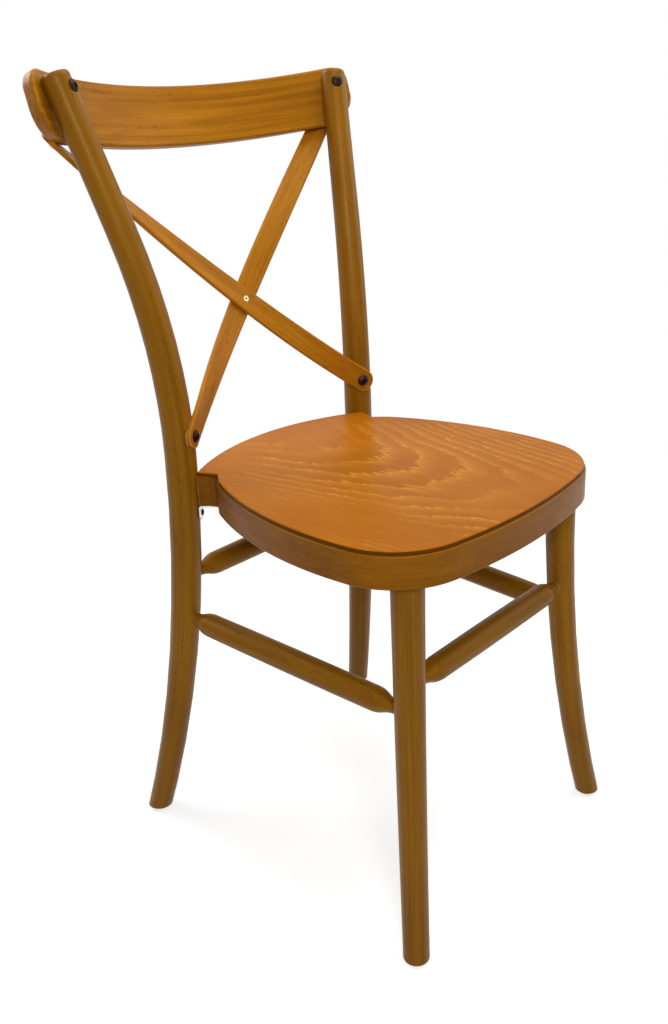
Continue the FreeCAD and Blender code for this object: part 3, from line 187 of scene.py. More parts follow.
class Board:
    """A node tree and the short ways to fill it."""

    # Layout of the nodes, and a colour Mix node's sockets, which stand after its other kinds'
    ROW_LENGTH, NODE_WIDTH, NODE_HEIGHT = 12, 180, 220
    SHARE, FIRST, SECOND, MIXED = 0, 6, 7, 2

    def __init__(self, tree):
        self.tree = tree
        self.nodes = tree.nodes
        self.column = 0

    def add(self, kind, inputs=None, **settings):
        node = self.nodes.new(kind)
        self.column += 1
        row, place = divmod(self.column, self.ROW_LENGTH)
        node.location = (self.NODE_WIDTH * place, -self.NODE_HEIGHT * row)
        for name, value in settings.items():
            setattr(node, name, value)
        for name, value in (inputs or {}).items():
            self.feed(node.inputs[name], value)
        return node

    def feed(self, socket, value):
        if isinstance(value, bpy.types.NodeSocket):
            self.tree.links.new(value, socket)
        else:
            socket.default_value = value

    def math(self, operation, *values, clamp=False):
        names = dict(enumerate(values))
        node = self.add("ShaderNodeMath", names, operation=operation, use_clamp=clamp)
        return node.outputs[0]

    def negative(self, value):
        return self.math("MULTIPLY", value, -1.0)

    def sway(self, noise, reach, total):
        """A total that a noise round one half moves both ways."""
        return self.math("MULTIPLY_ADD", self.math("SUBTRACT", noise, 0.5), reach, total)

    def vector(self, operation, *values):
        names = dict(enumerate(values))
        node = self.add("ShaderNodeVectorMath", names, operation=operation)
        scalar = operation in ("LENGTH", "DOT_PRODUCT", "DISTANCE")
        return node.outputs["Value" if scalar else "Vector"]

    def split(self, vector):
        return self.add("ShaderNodeSeparateXYZ", {"Vector": vector}).outputs

    def join(self, x, y, z):
        return self.add("ShaderNodeCombineXYZ", {"X": x, "Y": y, "Z": z}).outputs[0]

    def noise(self, vector, scale, detail=3.0, roughness=0.55, offset=(0.0, 0.0, 0.0)):
        """Noise stretched by a three-part scale, per metre."""
        place = self.add(
            "ShaderNodeMapping", {"Vector": vector, "Scale": scale, "Location": offset}
        ).outputs[0]
        return self.add(
            "ShaderNodeTexNoise",
            {"Vector": place, "Scale": 1.0, "Detail": detail, "Roughness": roughness},
        ).outputs[0]

    def ramp(self, value, low, high, start=0.0, end=1.0, shape="LINEAR"):
        return self.add(
            "ShaderNodeMapRange",
            {"Value": value, "From Min": low, "From Max": high, "To Min": start, "To Max": end},
            interpolation_type=shape,
        ).outputs[0]

    def smooth(self, value, low, high):
        return self.ramp(value, low, high, shape="SMOOTHSTEP")

    def mix_colour(self, share, first, second):
        node = self.add("ShaderNodeMix", data_type="RGBA")
        self.feed(node.inputs[self.SHARE], share)
        self.feed(node.inputs[self.FIRST], first)
        self.feed(node.inputs[self.SECOND], second)
        return node.outputs[self.MIXED]


def new_group(name, inputs, outputs):
    """A shader node group with named sockets: its board, entry sockets and result node."""
    tree = bpy.data.node_groups.new(name, "ShaderNodeTree")
    for label, kind, default in inputs:
        socket = tree.interface.new_socket(label, in_out="INPUT", socket_type="NodeSocket" + kind)
        if default is not None:
            socket.default_value = default
    for label, kind in outputs:
        tree.interface.new_socket(label, in_out="OUTPUT", socket_type="NodeSocket" + kind)
    board = Board(tree)
    entry = board.add("NodeGroupInput").outputs
    result = board.add("NodeGroupOutput")
    return board, entry, result


def rod_space_group(name, points, top):
    """Grain space of a rod bent in an upright plane: its centreline is straightened.

    points are heights and sideways offsets of the centreline, top is the height that the curve
    node takes as one.
    """
    inputs = [
        ("Vector", "Vector", None),
        ("Half Span", "Float", 0.15),
        ("Depth", "Float", 0.1),
        ("Across", "Float", 0.6),
        ("Back", "Float", 0.8),
    ]
    board, entry, result = new_group(name, inputs, [("Vector", "Vector")])
    x, y, z = board.split(entry["Vector"])
    most = max(offset for _, offset in points)
    curve = board.add("ShaderNodeFloatCurve", {"Factor": 1.0})
    board.feed(curve.inputs["Value"], board.math("DIVIDE", z, top))
    line = curve.mapping.curves[0]
    while len(line.points) < len(points):
        line.points.new(0.5, 0.5)
    for point, (height, offset) in zip(line.points, points):
        point.location = (height / top, offset / most)
    curve.mapping.update()
    offset = board.math("MULTIPLY", curve.outputs[0], most)
    centre_x = board.math("MULTIPLY_ADD", offset, entry["Across"], entry["Half Span"])
    centre_y = board.math("MULTIPLY_ADD", offset, entry["Back"], entry["Depth"])
    side = board.math("SIGN", x)
    out_x = board.math("SUBTRACT", board.math("ABSOLUTE", x), centre_x)
    out_y = board.math("SUBTRACT", y, centre_y)
    along = board.math("MULTIPLY_ADD", side, SIDE_SHIFT, z)
    board.feed(result.inputs[0], board.join(out_x, out_y, along))
    return board.tree


def arc_space_group(name):
    """Grain space of a board or ring bent round an upright axis: depth, height, arc length."""
    inputs = [("Vector", "Vector", None), ("Radius", "Float", 0.3)]
    board, entry, result = new_group(name, inputs, [("Vector", "Vector")])
    x, y, z = board.split(entry["Vector"])
    turn = board.math("ARCTAN2", x, y)
    along = board.math("MULTIPLY", turn, entry["Radius"])
    flat = board.join(x, y, 0.0)
    depth = board.math("SUBTRACT", board.vector("LENGTH", flat), entry["Radius"])
    board.feed(result.inputs[0], board.join(depth, z, along))
    return board.tree


def grain_group():
    """Stained wood along Z: growth rings, streaks, flecks and cloudy stain."""
    inputs = [
        ("Vector", "Vector", None),
        ("Pith", "Vector", (0.04, 0.02, 0.0)),
        ("Ring Spacing", "Float", 0.005),
        ("Ring Strength", "Float", 0.3),
        ("Streak Strength", "Float", 0.5),
        ("Cloud Strength", "Float", 0.3),
        ("Fleck Amount", "Float", 0.5),
        ("Seed", "Float", 0.0),
    ]
    outputs = [("Shade", "Float"), ("Flecks", "Float"), ("Height", "Float")]
    board, entry, result = new_group("stained_grain", inputs, outputs)
    shift = board.join(board.math("MULTIPLY", entry["Seed"], SEED_SHIFT), 0.0, entry["Seed"])
    place = board.vector("ADD", entry["Vector"], shift)
    noise = {name: board.noise(place, *band) for name, band in GRAIN_NOISES.items()}
    x, y, z = board.split(board.vector("SUBTRACT", entry["Vector"], entry["Pith"]))
    reach = board.vector("LENGTH", board.join(x, y, board.math("MULTIPLY", z, RING_CONE)))
    reach = board.math("MULTIPLY_ADD", noise["warp"], RING_WARP, reach)
    reach = board.math("MULTIPLY_ADD", noise["ripple"], RING_RIPPLE, reach)
    ring = board.math("FRACT", board.math("DIVIDE", reach, entry["Ring Spacing"]))
    early = board.smooth(ring, 0.0, EARLY_END)
    ring = board.math("SUBTRACT", early, board.smooth(ring, LATE_START, 1.0))
    fewer = board.math("MULTIPLY", entry["Fleck Amount"], FLECK_REACH)
    limit = board.sway(noise["patch"], -FLECK_PATCH, board.math("SUBTRACT", FLECK_LIMIT, fewer))
    flecks = board.smooth(noise["fleck"], limit, board.math("ADD", limit, FLECK_SOFT))
    ring = board.math("SUBTRACT", ring, RING_MIDDLE)
    shade = board.math("MULTIPLY", ring, entry["Ring Strength"])
    for name, share, strength in (
        ("streak", STREAK_SHARE, "Streak Strength"),
        ("fine", FINE_SHARE, "Streak Strength"),
        ("cloud", CLOUD_SHARE, "Cloud Strength"),
    ):
        weight = board.math("MULTIPLY", entry[strength], share)
        shade = board.sway(noise[name], weight, shade)
    height = board.math("MULTIPLY_ADD", flecks, FLECK_DEPTH, noise["fine"])
    board.feed(result.inputs["Shade"], board.math("ADD", shade, 0.5, clamp=True))
    board.feed(result.inputs["Flecks"], flecks)
    board.feed(result.inputs["Height"], height)
    return board.tree


def veneer_group():
    """Rotary cut veneer with nested pointed figure along Y."""
    inputs = [
        ("Vector", "Vector", None),
        ("Middle", "Float", 0.0),
        ("Sharpness", "Float", 19.0),
        ("Spacing", "Float", 0.058),
        ("Wander", "Float", 0.16),
        ("Feather", "Float", 0.058),
    ]
    outputs = [("Light Streaks", "Float"), ("Shade", "Float"), ("Height", "Float")]
    board, entry, result = new_group("veneer_figure", inputs, outputs)
    x, y, _ = board.split(entry["Vector"])
    flat = board.join(x, y, 0.0)
    noise = {name: board.noise(flat, *band) for name, band in VENEER_NOISES.items()}
    across = board.math("SUBTRACT", x, entry["Middle"])
    bend = board.math("MULTIPLY", board.math("MULTIPLY", across, across), entry["Sharpness"])
    field = board.math("SUBTRACT", y, bend)
    field = board.sway(noise["drift"], entry["Wander"], field)
    field = board.sway(noise["comb"], entry["Feather"], field)
    field = board.sway(noise["wobble"], WOBBLE_REACH, field)
    turn = board.math("FRACT", board.math("DIVIDE", field, entry["Spacing"]))
    line = board.math("MULTIPLY", board.smooth(turn, LINE_START, LINE_FULL), LINE_SHARE)
    glow = board.smooth(turn, GLOW_START, LINE_FULL)
    crest = board.math("MULTIPLY_ADD", glow, GLOW_SHARE, line)
    crest = board.math("MULTIPLY", crest, board.smooth(turn, 1.0, LINE_END))
    gate = board.smooth(noise["gate"], GATE_LOW, GATE_HIGH)
    shade = board.sway(noise["hair"], HAIR_SHARE, 0.5)
    shade = board.sway(noise["cloud"], VENEER_CLOUD_SHARE, shade)
    shade = board.sway(turn, TURN_SHARE, shade)
    board.feed(result.inputs["Light Streaks"], board.math("MULTIPLY", crest, gate))
    board.feed(result.inputs["Shade"], board.math("ADD", shade, 0.0, clamp=True))
    board.feed(result.inputs["Height"], noise["hair"])
    return board.tree


def edge_wear_and_highlight_group():
    """Mask of edges where the stain is rubbed thin and where a painted highlight lies along the
    rounded edges.
    """
    inputs = [("Radius", "Float", 0.002), ("Low", "Float", 0.03), ("High", "Float", 0.2)]
    board, entry, result = new_group("rubbed_edge", inputs, [("Mask", "Float")])
    soft = board.add("ShaderNodeBevel", {"Radius": entry["Radius"]}, samples=6).outputs[0]
    facing = board.add("ShaderNodeNewGeometry").outputs["Normal"]
    gap = board.math("SUBTRACT", 1.0, board.vector("DOT_PRODUCT", soft, facing))
    spot = board.add("ShaderNodeTexCoord").outputs["Object"]
    uneven = board.ramp(board.noise(spot, *EDGE_NOISE), 0.3, 0.7, EDGE_LEAST, 1.0)
    mask = board.math("MULTIPLY", board.smooth(gap, entry["Low"], entry["High"]), uneven)
    board.feed(result.inputs[0], mask)
    return board.tree


def metal_group():
    """Fine scratches and cloudy tarnish of small metal parts."""
    inputs = [("Vector", "Vector", None), ("Grain Size", "Float", 0.0004)]
    outputs = [("Tarnish", "Float"), ("Scratches", "Float")]
    board, entry, result = new_group("worn_metal", inputs, outputs)
    rate = board.math("DIVIDE", 1.0, entry["Grain Size"])
    fine = board.add(
        "ShaderNodeTexNoise", {"Vector": entry["Vector"], "Scale": rate, "Detail": 3.0}
    ).outputs[0]
    cloud = board.noise(entry["Vector"], *TARNISH_NOISE)
    board.feed(result.inputs["Tarnish"], board.smooth(cloud, 0.35, 0.7))
    board.feed(result.inputs["Scratches"], fine)
    return board.tree


def bend_points(bend, foot_offset, upper_radius=0.0, upper_bend=0.0, top=0.0):
    """Height and sideways offset along a bent rod's centreline."""
    radius = (bend**2 + foot_offset**2) / (2 * foot_offset)
    points = []
    for share in (0.0, 0.2, 0.4, 0.6, 0.8, 1.0):
        height = bend * share
        points.append((height, radius - math.sqrt(radius**2 - (bend - height) ** 2)))
    if upper_radius:
        high = math.radians(upper_bend)
        for share in (0.33, 0.66, 1.0):
            lean = high * share
            height = bend + upper_radius * math.sin(lean)
            offset = upper_radius * (1 - math.cos(lean))
            points.append((height, offset))
        points.append((top, offset + (top - height) * math.tan(high)))
    return points


GROUPS = {}


def build_groups():
    post_points = bend_points(
        POST_BEND, POST_FOOT_OFFSET, POST_UPPER_RADIUS, POST_UPPER_BEND, POST_TOP
    )
    leg_points = bend_points(LEG_TOP, LEG_FOOT_OFFSET)
    GROUPS["post"] = rod_space_group("post_grain_space", post_points, POST_TOP)
    GROUPS["leg"] = rod_space_group("leg_grain_space", leg_points, LEG_TOP)
    GROUPS["arc"] = arc_space_group("arc_grain_space")
    GROUPS["grain"] = grain_group()
    GROUPS["veneer"] = veneer_group()
    GROUPS["edge"] = edge_wear_and_highlight_group()
    GROUPS["metal"] = metal_group()


# Materials

def new_material(name, roughness, metallic=0.0):
    """A material with a principled shader and object coordinates."""
    material = bpy.data.materials.new(name)
    material.use_nodes = True
    board = Board(material.node_tree)
    shader = board.nodes["Principled BSDF"]
    shader.inputs["Roughness"].default_value = roughness
    shader.inputs["Metallic"].default_value = metallic
    spot = board.add("ShaderNodeTexCoord").outputs["Object"]
    return material, board, shader, spot


def grouped(board, name, **values):
    node = board.add("ShaderNodeGroup")
    node.node_tree = GROUPS[name]
    for label, value in values.items():
        board.feed(node.inputs[label.replace("_", " ")], value)
    return node.outputs


def colour4(values, gain=1.0, shift=(1.0, 1.0, 1.0)):
    """A colour made brighter or darker as a whole and in each channel, with full alpha."""
    return tuple(value * gain * part for value, part in zip(values, shift)) + (1.0,)


def add_bump(board, shader, height, strength, distance):
    values = {"Height": height, "Strength": strength, "Distance": distance}
    board.feed(shader.inputs["Normal"], board.add("ShaderNodeBump", values).outputs[0])


def rod_vector(board, spot, kind):
    """Object space straightened along a post or a leg."""
    span, depth, splay = {
        "post": (POST_HALF_SPAN, POST_DEPTH, math.radians(POST_SPLAY)),
        "leg": (LEG_HALF_SPAN, LEG_DEPTH, math.radians(LEG_SPLAY)),
    }[kind]
    across, back = math.cos(splay), math.sin(splay)
    values = {"Half_Span": span, "Depth": depth, "Across": across, "Back": back}
    return grouped(board, kind, Vector=spot, **values)["Vector"]


def turned_vector(board, spot, start, end):
    """Object space turned so that Z runs from start to end."""
    heading = (Vector(end) - Vector(start)).normalized()
    turn = heading.rotation_difference(Vector((0, 0, 1))).to_euler()
    return board.add("ShaderNodeMapping", {"Vector": spot, "Rotation": turn}).outputs[0]


def rail_vector(board, spot):
    """The rail's own frame with its arc's axis at the origin, then unrolled."""
    turn = Matrix.Rotation(math.radians(RAIL_TILT), 3, "X")
    shift = Vector((0.0, RAIL_RADIUS, 0.0)) - turn @ Vector(RAIL_FOOT)
    values = {"Rotation": turn.to_euler(), "Location": shift}
    place = board.add("ShaderNodeMapping", {"Vector": spot, **values}).outputs[0]
    return grouped(board, "arc", Vector=place, Radius=RAIL_RADIUS)["Vector"]


def ring_vector(board, spot):
    """The seat ring unrolled, with its scarf joint at the middle of the back."""
    values = {"Rotation": (0.0, 0.0, math.pi), "Location": (0.0, RING_MIDDLE_Y, 0.0)}
    place = board.add("ShaderNodeMapping", {"Vector": spot, **values}).outputs[0]
    return grouped(board, "arc", Vector=place, Radius=RING_RADIUS)["Vector"]


def satin_lacquer(shader, shine):
    """Amber lacquer: its shine is tinted like the stain."""
    shader.inputs["Specular IOR Level"].default_value = shine
    shader.inputs["Specular Tint"].default_value = LACQUER_TINT


def stained_wood(name, place, tone, grain, edge=None, shine=BOARD_SHINE):
    """Lacquered beech: place gives the grain space, tone the stain, grain the pattern's values."""
    wood = bpy.context.scene.chair_wood
    material, board, shader, spot = new_material(name, wood.gloss)
    pattern = grouped(board, "grain", Vector=place(board, spot), **grain)
    dark = colour4(tone, wood.dark_share, DARK_WOOD)
    colour = board.mix_colour(pattern["Shade"], dark, colour4(tone, wood.light_share))
    share = board.math("MULTIPLY", pattern["Flecks"], FLECK_SHARE)
    colour = board.mix_colour(share, colour, colour4(wood.fleck_colour))
    # pale edges: rubbed stain, and a painted highlight along the rounded edges
    if edge:
        rim = grouped(board, "edge", Radius=edge)["Mask"]
        rim = board.math("MULTIPLY", rim, wood.rim_strength)
        colour = board.mix_colour(rim, colour, colour4(wood.rim_colour))
    board.feed(shader.inputs["Base Color"], colour)
    rough = wood.gloss + WOOD_ROUGH
    rough = board.math("MULTIPLY_ADD", pattern["Shade"], WOOD_ROUGH_SHADE, rough)
    rough = board.math("MULTIPLY_ADD", pattern["Flecks"], WOOD_ROUGH_FLECKS, rough)
    board.feed(shader.inputs["Roughness"], rough)
    satin_lacquer(shader, shine)
    add_bump(board, shader, pattern["Height"], strength=0.16, distance=0.0003)
    return material


def seat_veneer(name):
    """Lacquered veneer, with the plies at the panel's edge."""
    wood = bpy.context.scene.chair_wood
    material, board, shader, spot = new_material(name, wood.gloss)
    figure = grouped(board, "veneer", Vector=spot, Middle=0.012)
    # the panel's colour holds painted light from above on its top as well as its stain
    light = colour4(wood.seat_colour, SEAT_LIGHT)
    dark = colour4(wood.seat_colour, SEAT_DARK, DARK_VENEER)
    colour = board.mix_colour(figure["Shade"], dark, light)
    share = board.math("MULTIPLY", figure["Light Streaks"], STREAK_COLOUR_SHARE)
    colour = board.mix_colour(share, colour, colour4(wood.streak_colour))
    # the panel's side is end grain, which takes the stain darker, and shows its plies; its dark
    # tone, set where the normal turns from up, is also painted shade along the panel's edge
    upright = board.split(board.add("ShaderNodeNewGeometry").outputs["Normal"])["Z"]
    height = board.split(spot)["Z"]
    ply = board.math("SINE", board.math("MULTIPLY", height, 2 * math.pi / PLY_PAIR))
    dark_ply = colour4(wood.edge_colour, PLY_DARK)
    light_ply = colour4(wood.edge_colour, PLY_LIGHT)
    ply_tone = board.mix_colour(board.smooth(ply, -0.4, 0.4), dark_ply, light_ply)
    colour = board.mix_colour(board.smooth(upright, SIDE_START, SIDE_FULL), colour, ply_tone)
    # pale rim on the panel's rounded top edge, kept to where it faces up: painted highlight and
    # rubbed stain
    rim = grouped(board, "edge", Radius=PANEL_EDGE)["Mask"]
    rim = board.math("MULTIPLY", rim, board.smooth(upright, HIGHLIGHT_TOP_START, HIGHLIGHT_TOP_FULL))
    rim = board.math("MULTIPLY", rim, wood.rim_strength)
    colour = board.mix_colour(rim, colour, colour4(wood.rim_colour))
    board.feed(shader.inputs["Base Color"], colour)
    rough = wood.gloss + SEAT_ROUGH
    rough = board.math("MULTIPLY_ADD", figure["Shade"], SEAT_ROUGH_SHADE, rough)
    board.feed(shader.inputs["Roughness"], rough)
    satin_lacquer(shader, SEAT_SHINE)
    add_bump(board, shader, figure["Height"], strength=0.12, distance=0.0003)
    return material


def small_metal(name, tone, tarnish, roughness, metallic=1.0, grain=0.0004):
    """Metal, or plastic where metallic is nought, with cloudy tarnish and fine scratches."""
    material, board, shader, spot = new_material(name, roughness, metallic)
    wear = grouped(board, "metal", Vector=spot, Grain_Size=grain)
    share = board.math("MULTIPLY", wear["Tarnish"], TARNISH_SHARE)
    colour = board.mix_colour(share, colour4(tone), colour4(tarnish))
    board.feed(shader.inputs["Base Color"], colour)
    rough = board.math("MULTIPLY_ADD", wear["Tarnish"], METAL_ROUGH_TARNISH, roughness)
    rough = board.math("MULTIPLY_ADD", wear["Scratches"], METAL_ROUGH_SCRATCHES, rough)
    board.feed(shader.inputs["Roughness"], rough)
    add_bump(board, shader, wear["Scratches"], strength=0.1, distance=0.0001)
    return material


def dress(names, material):
    """Gives CAD nodes a material in their objects' own slots."""
    for name in names:
        for slot in NODES[name].material_slots:
            slot.link = "OBJECT"
            slot.material = material


# Fasteners

def fastener_seats(node):
    """Head middle, direction out of the head and length of each solid of a CAD node."""
    mesh = bmesh.new()
    mesh.from_mesh(NODES[node].data)
    bmesh.ops.remove_doubles(mesh, verts=mesh.verts, dist=CAD_WELD)
    mesh.faces.ensure_lookup_table()
    left = set(mesh.faces)
    seats = []
    while left:
        first = min(left, key=lambda face: face.index)
        island = {first}
        queue = [first]
        while queue:
            face = queue.pop()
            for edge in face.edges:
                for other in edge.link_faces:
                    if other not in island:
                        island.add(other)
                        queue.append(other)
        left -= island
        ordered = sorted(island, key=lambda face: face.index)
        areas = np.array([face.calc_area() for face in ordered])
        middles = np.array([face.calc_center_median() for face in ordered])
        points = np.array([vert.co for face in ordered for vert in face.verts])
        centre = (areas[:, None] * middles).sum(0) / areas.sum()
        spread = middles - centre
        values, vectors = np.linalg.eigh((areas[:, None] * spread).T @ spread)
        # the shank's direction is the one whose spread differs from the two alike
        odd = 2 if values[1] - values[0] < values[2] - values[1] else 0
        axis = vectors[:, odd]
        along = (points - centre) @ axis
        away = np.linalg.norm((points - centre) - np.outer(along, axis), axis=1)
        wide = along[away > away.max() - RIM_REACH].mean()
        middle = (along.max() + along.min()) / 2
        if wide < middle:
            axis, along, wide = -axis, -along, -wide
        seats.append((Vector(centre + axis * wide), Vector(axis), wide - along.min()))
    mesh.free()
    return sorted(seats, key=lambda seat: tuple(seat[0]))


def screw_tree():
    """Cross recessed screw, its thread wound along the shank, set on points."""
    tree = bpy.data.node_groups.new("cross_recess_screw", "GeometryNodeTree")
    sizes = [
        ("Head Diameter", 0.0075),
        ("Head Height", 0.002),
        ("Shank Diameter", 0.0035),
        ("Length", 0.014),
        ("Point Length", 0.003),
        ("Thread Pitch", 0.0014),
        ("Thread Depth", 0.0004),
        ("Recess Width", 0.0042),
        ("Recess Depth", 0.0012),
    ]
    tree.interface.new_socket("Seats", in_out="INPUT", socket_type="NodeSocketGeometry")
    for label, default in sizes:
        socket = tree.interface.new_socket(label, in_out="INPUT", socket_type="NodeSocketFloat")
        socket.default_value = default
        socket.subtype = "DISTANCE"
    tree.interface.new_socket("Finish", in_out="INPUT", socket_type="NodeSocketMaterial")
    tree.interface.new_socket("Screws", in_out="OUTPUT", socket_type="NodeSocketGeometry")
    board = Board(tree)
    entry = board.add("NodeGroupInput").outputs
    counts = {"Vertices X": SCREW_AROUND + 1, "Vertices Y": SCREW_ROWS}
    grid = board.add("GeometryNodeMeshGrid", {"Size X": 1.0, "Size Y": 1.0, **counts})
    x, y, _ = board.split(board.add("GeometryNodeInputPosition").outputs[0])
    turn = board.math("ADD", x, 0.5)
    row = board.math("ADD", y, 0.5)
    head_radius = board.math("MULTIPLY", entry["Head Diameter"], 0.5)
    shank_radius = board.math("MULTIPLY", entry["Shank Diameter"], 0.5)
    quarter = board.ramp(row, 0.0, HEAD_END, 0.0, math.pi / 2)
    radius = board.math("MULTIPLY", board.math("SINE", quarter), head_radius)
    step = board.math("SUBTRACT", shank_radius, head_radius)
    radius = board.math("ADD", radius, board.ramp(row, HEAD_END, NECK_END, 0.0, step))
    taper = board.ramp(row, POINT_START, 1.0, 0.0, board.negative(shank_radius))
    radius = board.math("ADD", radius, taper)
    straight = board.math("SUBTRACT", entry["Length"], entry["Point Length"])
    shank = board.ramp(row, NECK_END, POINT_START, 0.0, board.negative(straight))
    point = board.ramp(row, POINT_START, 1.0, 0.0, board.negative(entry["Point Length"]))
    height = board.math("MULTIPLY", board.math("COSINE", quarter), entry["Head Height"])
    height = board.math("ADD", board.math("ADD", height, shank), point)
    wind = board.math("ADD", board.math("DIVIDE", height, entry["Thread Pitch"]), turn)
    wave = board.math("MULTIPLY_ADD", board.math("FRACT", wind), 2.0, -1.0)
    ridge = board.math("SUBTRACT", 1.0, board.math("ABSOLUTE", wave))
    ridge = board.math("SUBTRACT", ridge, THREAD_FLOOR)
    ridge = board.math("MULTIPLY", ridge, entry["Thread Depth"])
    rise = board.ramp(row, THREAD_START, THREAD_FULL)
    cover = board.math("MULTIPLY", rise, board.ramp(row, THREAD_END, THREAD_FADE))
    radius = board.math("MAXIMUM", board.math("MULTIPLY_ADD", ridge, cover, radius), 0.0)
    angle = board.math("MULTIPLY", turn, -2.0 * math.pi)
    place = board.join(
        board.math("MULTIPLY", board.math("COSINE", angle), radius),
        board.math("MULTIPLY", board.math("SINE", angle), radius),
        height,
    )
    revolved = board.add(
        "GeometryNodeSetPosition", {"Geometry": grid.outputs[0], "Position": place}
    ).outputs[0]
    closed = board.add(
        "GeometryNodeMergeByDistance", {"Geometry": revolved, "Distance": SCREW_WELD}
    ).outputs[0]
    blades = []
    for wide, narrow in ((1.0, RECESS_BLADE), (RECESS_BLADE, 1.0)):
        size = board.join(
            board.math("MULTIPLY", entry["Recess Width"], wide),
            board.math("MULTIPLY", entry["Recess Width"], narrow),
            board.math("MULTIPLY", entry["Recess Depth"], 2.0),
        )
        blade = board.add("GeometryNodeMeshCube", {"Size": size}).outputs[0]
        rise = board.join(0.0, 0.0, entry["Head Height"])
        blades.append(
            board.add("GeometryNodeTransform", {"Geometry": blade, "Translation": rise}).outputs[0]
        )
    cut = board.add("GeometryNodeMeshBoolean", {"Mesh 1": closed}, operation="DIFFERENCE")
    for blade in blades:
        tree.links.new(blade, cut.inputs["Mesh 2"])
    crease = board.add("GeometryNodeInputMeshEdgeAngle").outputs["Unsigned Angle"]
    soft = board.math("LESS_THAN", crease, math.radians(CREASE))
    smooth = board.add(
        "GeometryNodeSetShadeSmooth",
        {"Geometry": cut.outputs[0], "Shade Smooth": soft},
        domain="EDGE",
    ).outputs[0]
    heading = board.add(
        "GeometryNodeInputNamedAttribute", {"Name": "heading"}, data_type="FLOAT_VECTOR"
    ).outputs[0]
    turned = board.add(
        "FunctionNodeAlignRotationToVector", {"Vector": heading}, axis="Z"
    ).outputs[0]
    spread = board.add(
        "GeometryNodeInstanceOnPoints",
        {"Points": entry["Seats"], "Instance": smooth, "Rotation": turned},
    ).outputs[0]
    real = board.add("GeometryNodeRealizeInstances", {"Geometry": spread}).outputs[0]
    finished = board.add(
        "GeometryNodeSetMaterial", {"Geometry": real, "Material": entry["Finish"]}
    ).outputs[0]
    result = board.add("NodeGroupOutput")
    board.feed(result.inputs[0], finished)
    return tree


def set_on_seats(name, node, tree, values):
    """Runs a fastener tree on the seats of a CAD node and keeps the result as a plain mesh."""
    seats = fastener_seats(node)
    holder_mesh = bpy.data.meshes.new(name + "_seats")
    holder_mesh.from_pydata([seat[0] for seat in seats], [], [])
    heading = holder_mesh.attributes.new("heading", "FLOAT_VECTOR", "POINT")
    for item, seat in zip(heading.data, seats):
        item.vector = seat[1]
    holder = bpy.data.objects.new(name + "_holder", holder_mesh)
    bpy.context.scene.collection.objects.link(holder)
    modifier = holder.modifiers.new("fasteners", "NODES")
    modifier.node_group = tree
    values = dict(values, Length=seats[0][2])
    for item in tree.interface.items_tree:
        if item.in_out == "INPUT" and item.name in values:
            modifier[item.identifier] = values[item.name]
    graph = bpy.context.evaluated_depsgraph_get()
    mesh = bpy.data.meshes.new_from_object(holder.evaluated_get(graph))
    mesh.name = name
    piece = bpy.data.objects.new(name, mesh)
    bpy.context.scene.collection.objects.link(piece)
    bpy.data.objects.remove(holder)
    if not mesh.polygons:
        raise RuntimeError(name + " has no faces")
    return piece


# Settings that a user would change

def stain(name, description, default):
    """A colour that the user can change."""
    return FloatVectorProperty(
        name=name, description=description, default=default,
        subtype="COLOR", size=3, min=0.0, max=1.0,
    )


def screw_size(name, description, default):
    """A screw's size in metres, from a third of its default to three times."""
    return FloatProperty(
        name=name, description=description, default=default,
        min=default / 3, max=default * 3, unit="LENGTH",
    )


def turn_angle(name, description, degrees):
    """An angle that the user can change, given in degrees."""
    return FloatProperty(
        name=name, description=description, default=math.radians(degrees), subtype="ANGLE"
    )


def lamp_power(name, description, default):
    """A lamp's power that the user can change."""
    return FloatProperty(
        name=name, description=description, default=default, min=0.0, unit="POWER"
    )


class ChairWoodSettings(PropertyGroup):
    """Colours and gloss of the stained wood."""

    post_colour: stain(
        "Posts and legs", "Stain of the bent rods and stretchers", (0.225, 0.092, 0.0028)
    )
    rail_colour: stain("Crest rail", "Stain of the curved rail", (0.355, 0.134, 0.0045))
    slat_colour: stain("Slats", "Stain of the crossed slats", (0.370, 0.140, 0.0050))
    # The seat panel is set about twice as bright as the frame and the rods: part is the panel's
    # own veneer, part is painted light falling on its top
    frame_colour: stain("Seat frame", "Stain of the bent seat frame", (0.215, 0.076, 0.0022))
    seat_colour: stain("Seat panel", "Stain of the veneered panel", (0.425, 0.132, 0.0024))
    streak_colour: stain(
        "Light figure", "Pale figure in the seat's veneer", (0.640, 0.290, 0.0300)
    )
    # Pale edge colour: rubbed stain, and a painted highlight along the rounded edges
    rim_colour: stain(
        "Rubbed edges", "Where the stain is rubbed thin along an edge", (0.740, 0.470, 0.1800)
    )
    fleck_colour: stain("Flecks", "Short dark pores and ray flecks", (0.070, 0.024, 0.0020))
    # Dark tone of the panel's side: stained end grain, and painted shade along the panel's edge
    edge_colour: stain(
        "Panel edge", "Stained end grain of the panel's plies", (0.110, 0.036, 0.0020)
    )
    dark_share: FloatProperty(
        name="Dark grain", description="Brightness of the dark grain beside the stain colour",
        default=0.62, min=0.1, max=1.0,
    )
    light_share: FloatProperty(
        name="Light grain", description="Brightness of the light grain beside the stain colour",
        default=1.30, min=1.0, max=2.0,
    )
    # how far the edges take the pale colour of rubbed stain and painted highlight
    rim_strength: FloatProperty(
        name="Rubbed edge strength", description="How far the edges go to the rubbed colour",
        default=0.8, min=0.0, max=1.0,
    )
    gloss: FloatProperty(
        name="Roughness", description="Roughness of the satin lacquer",
        default=0.36, min=0.05, max=1.0,
    )


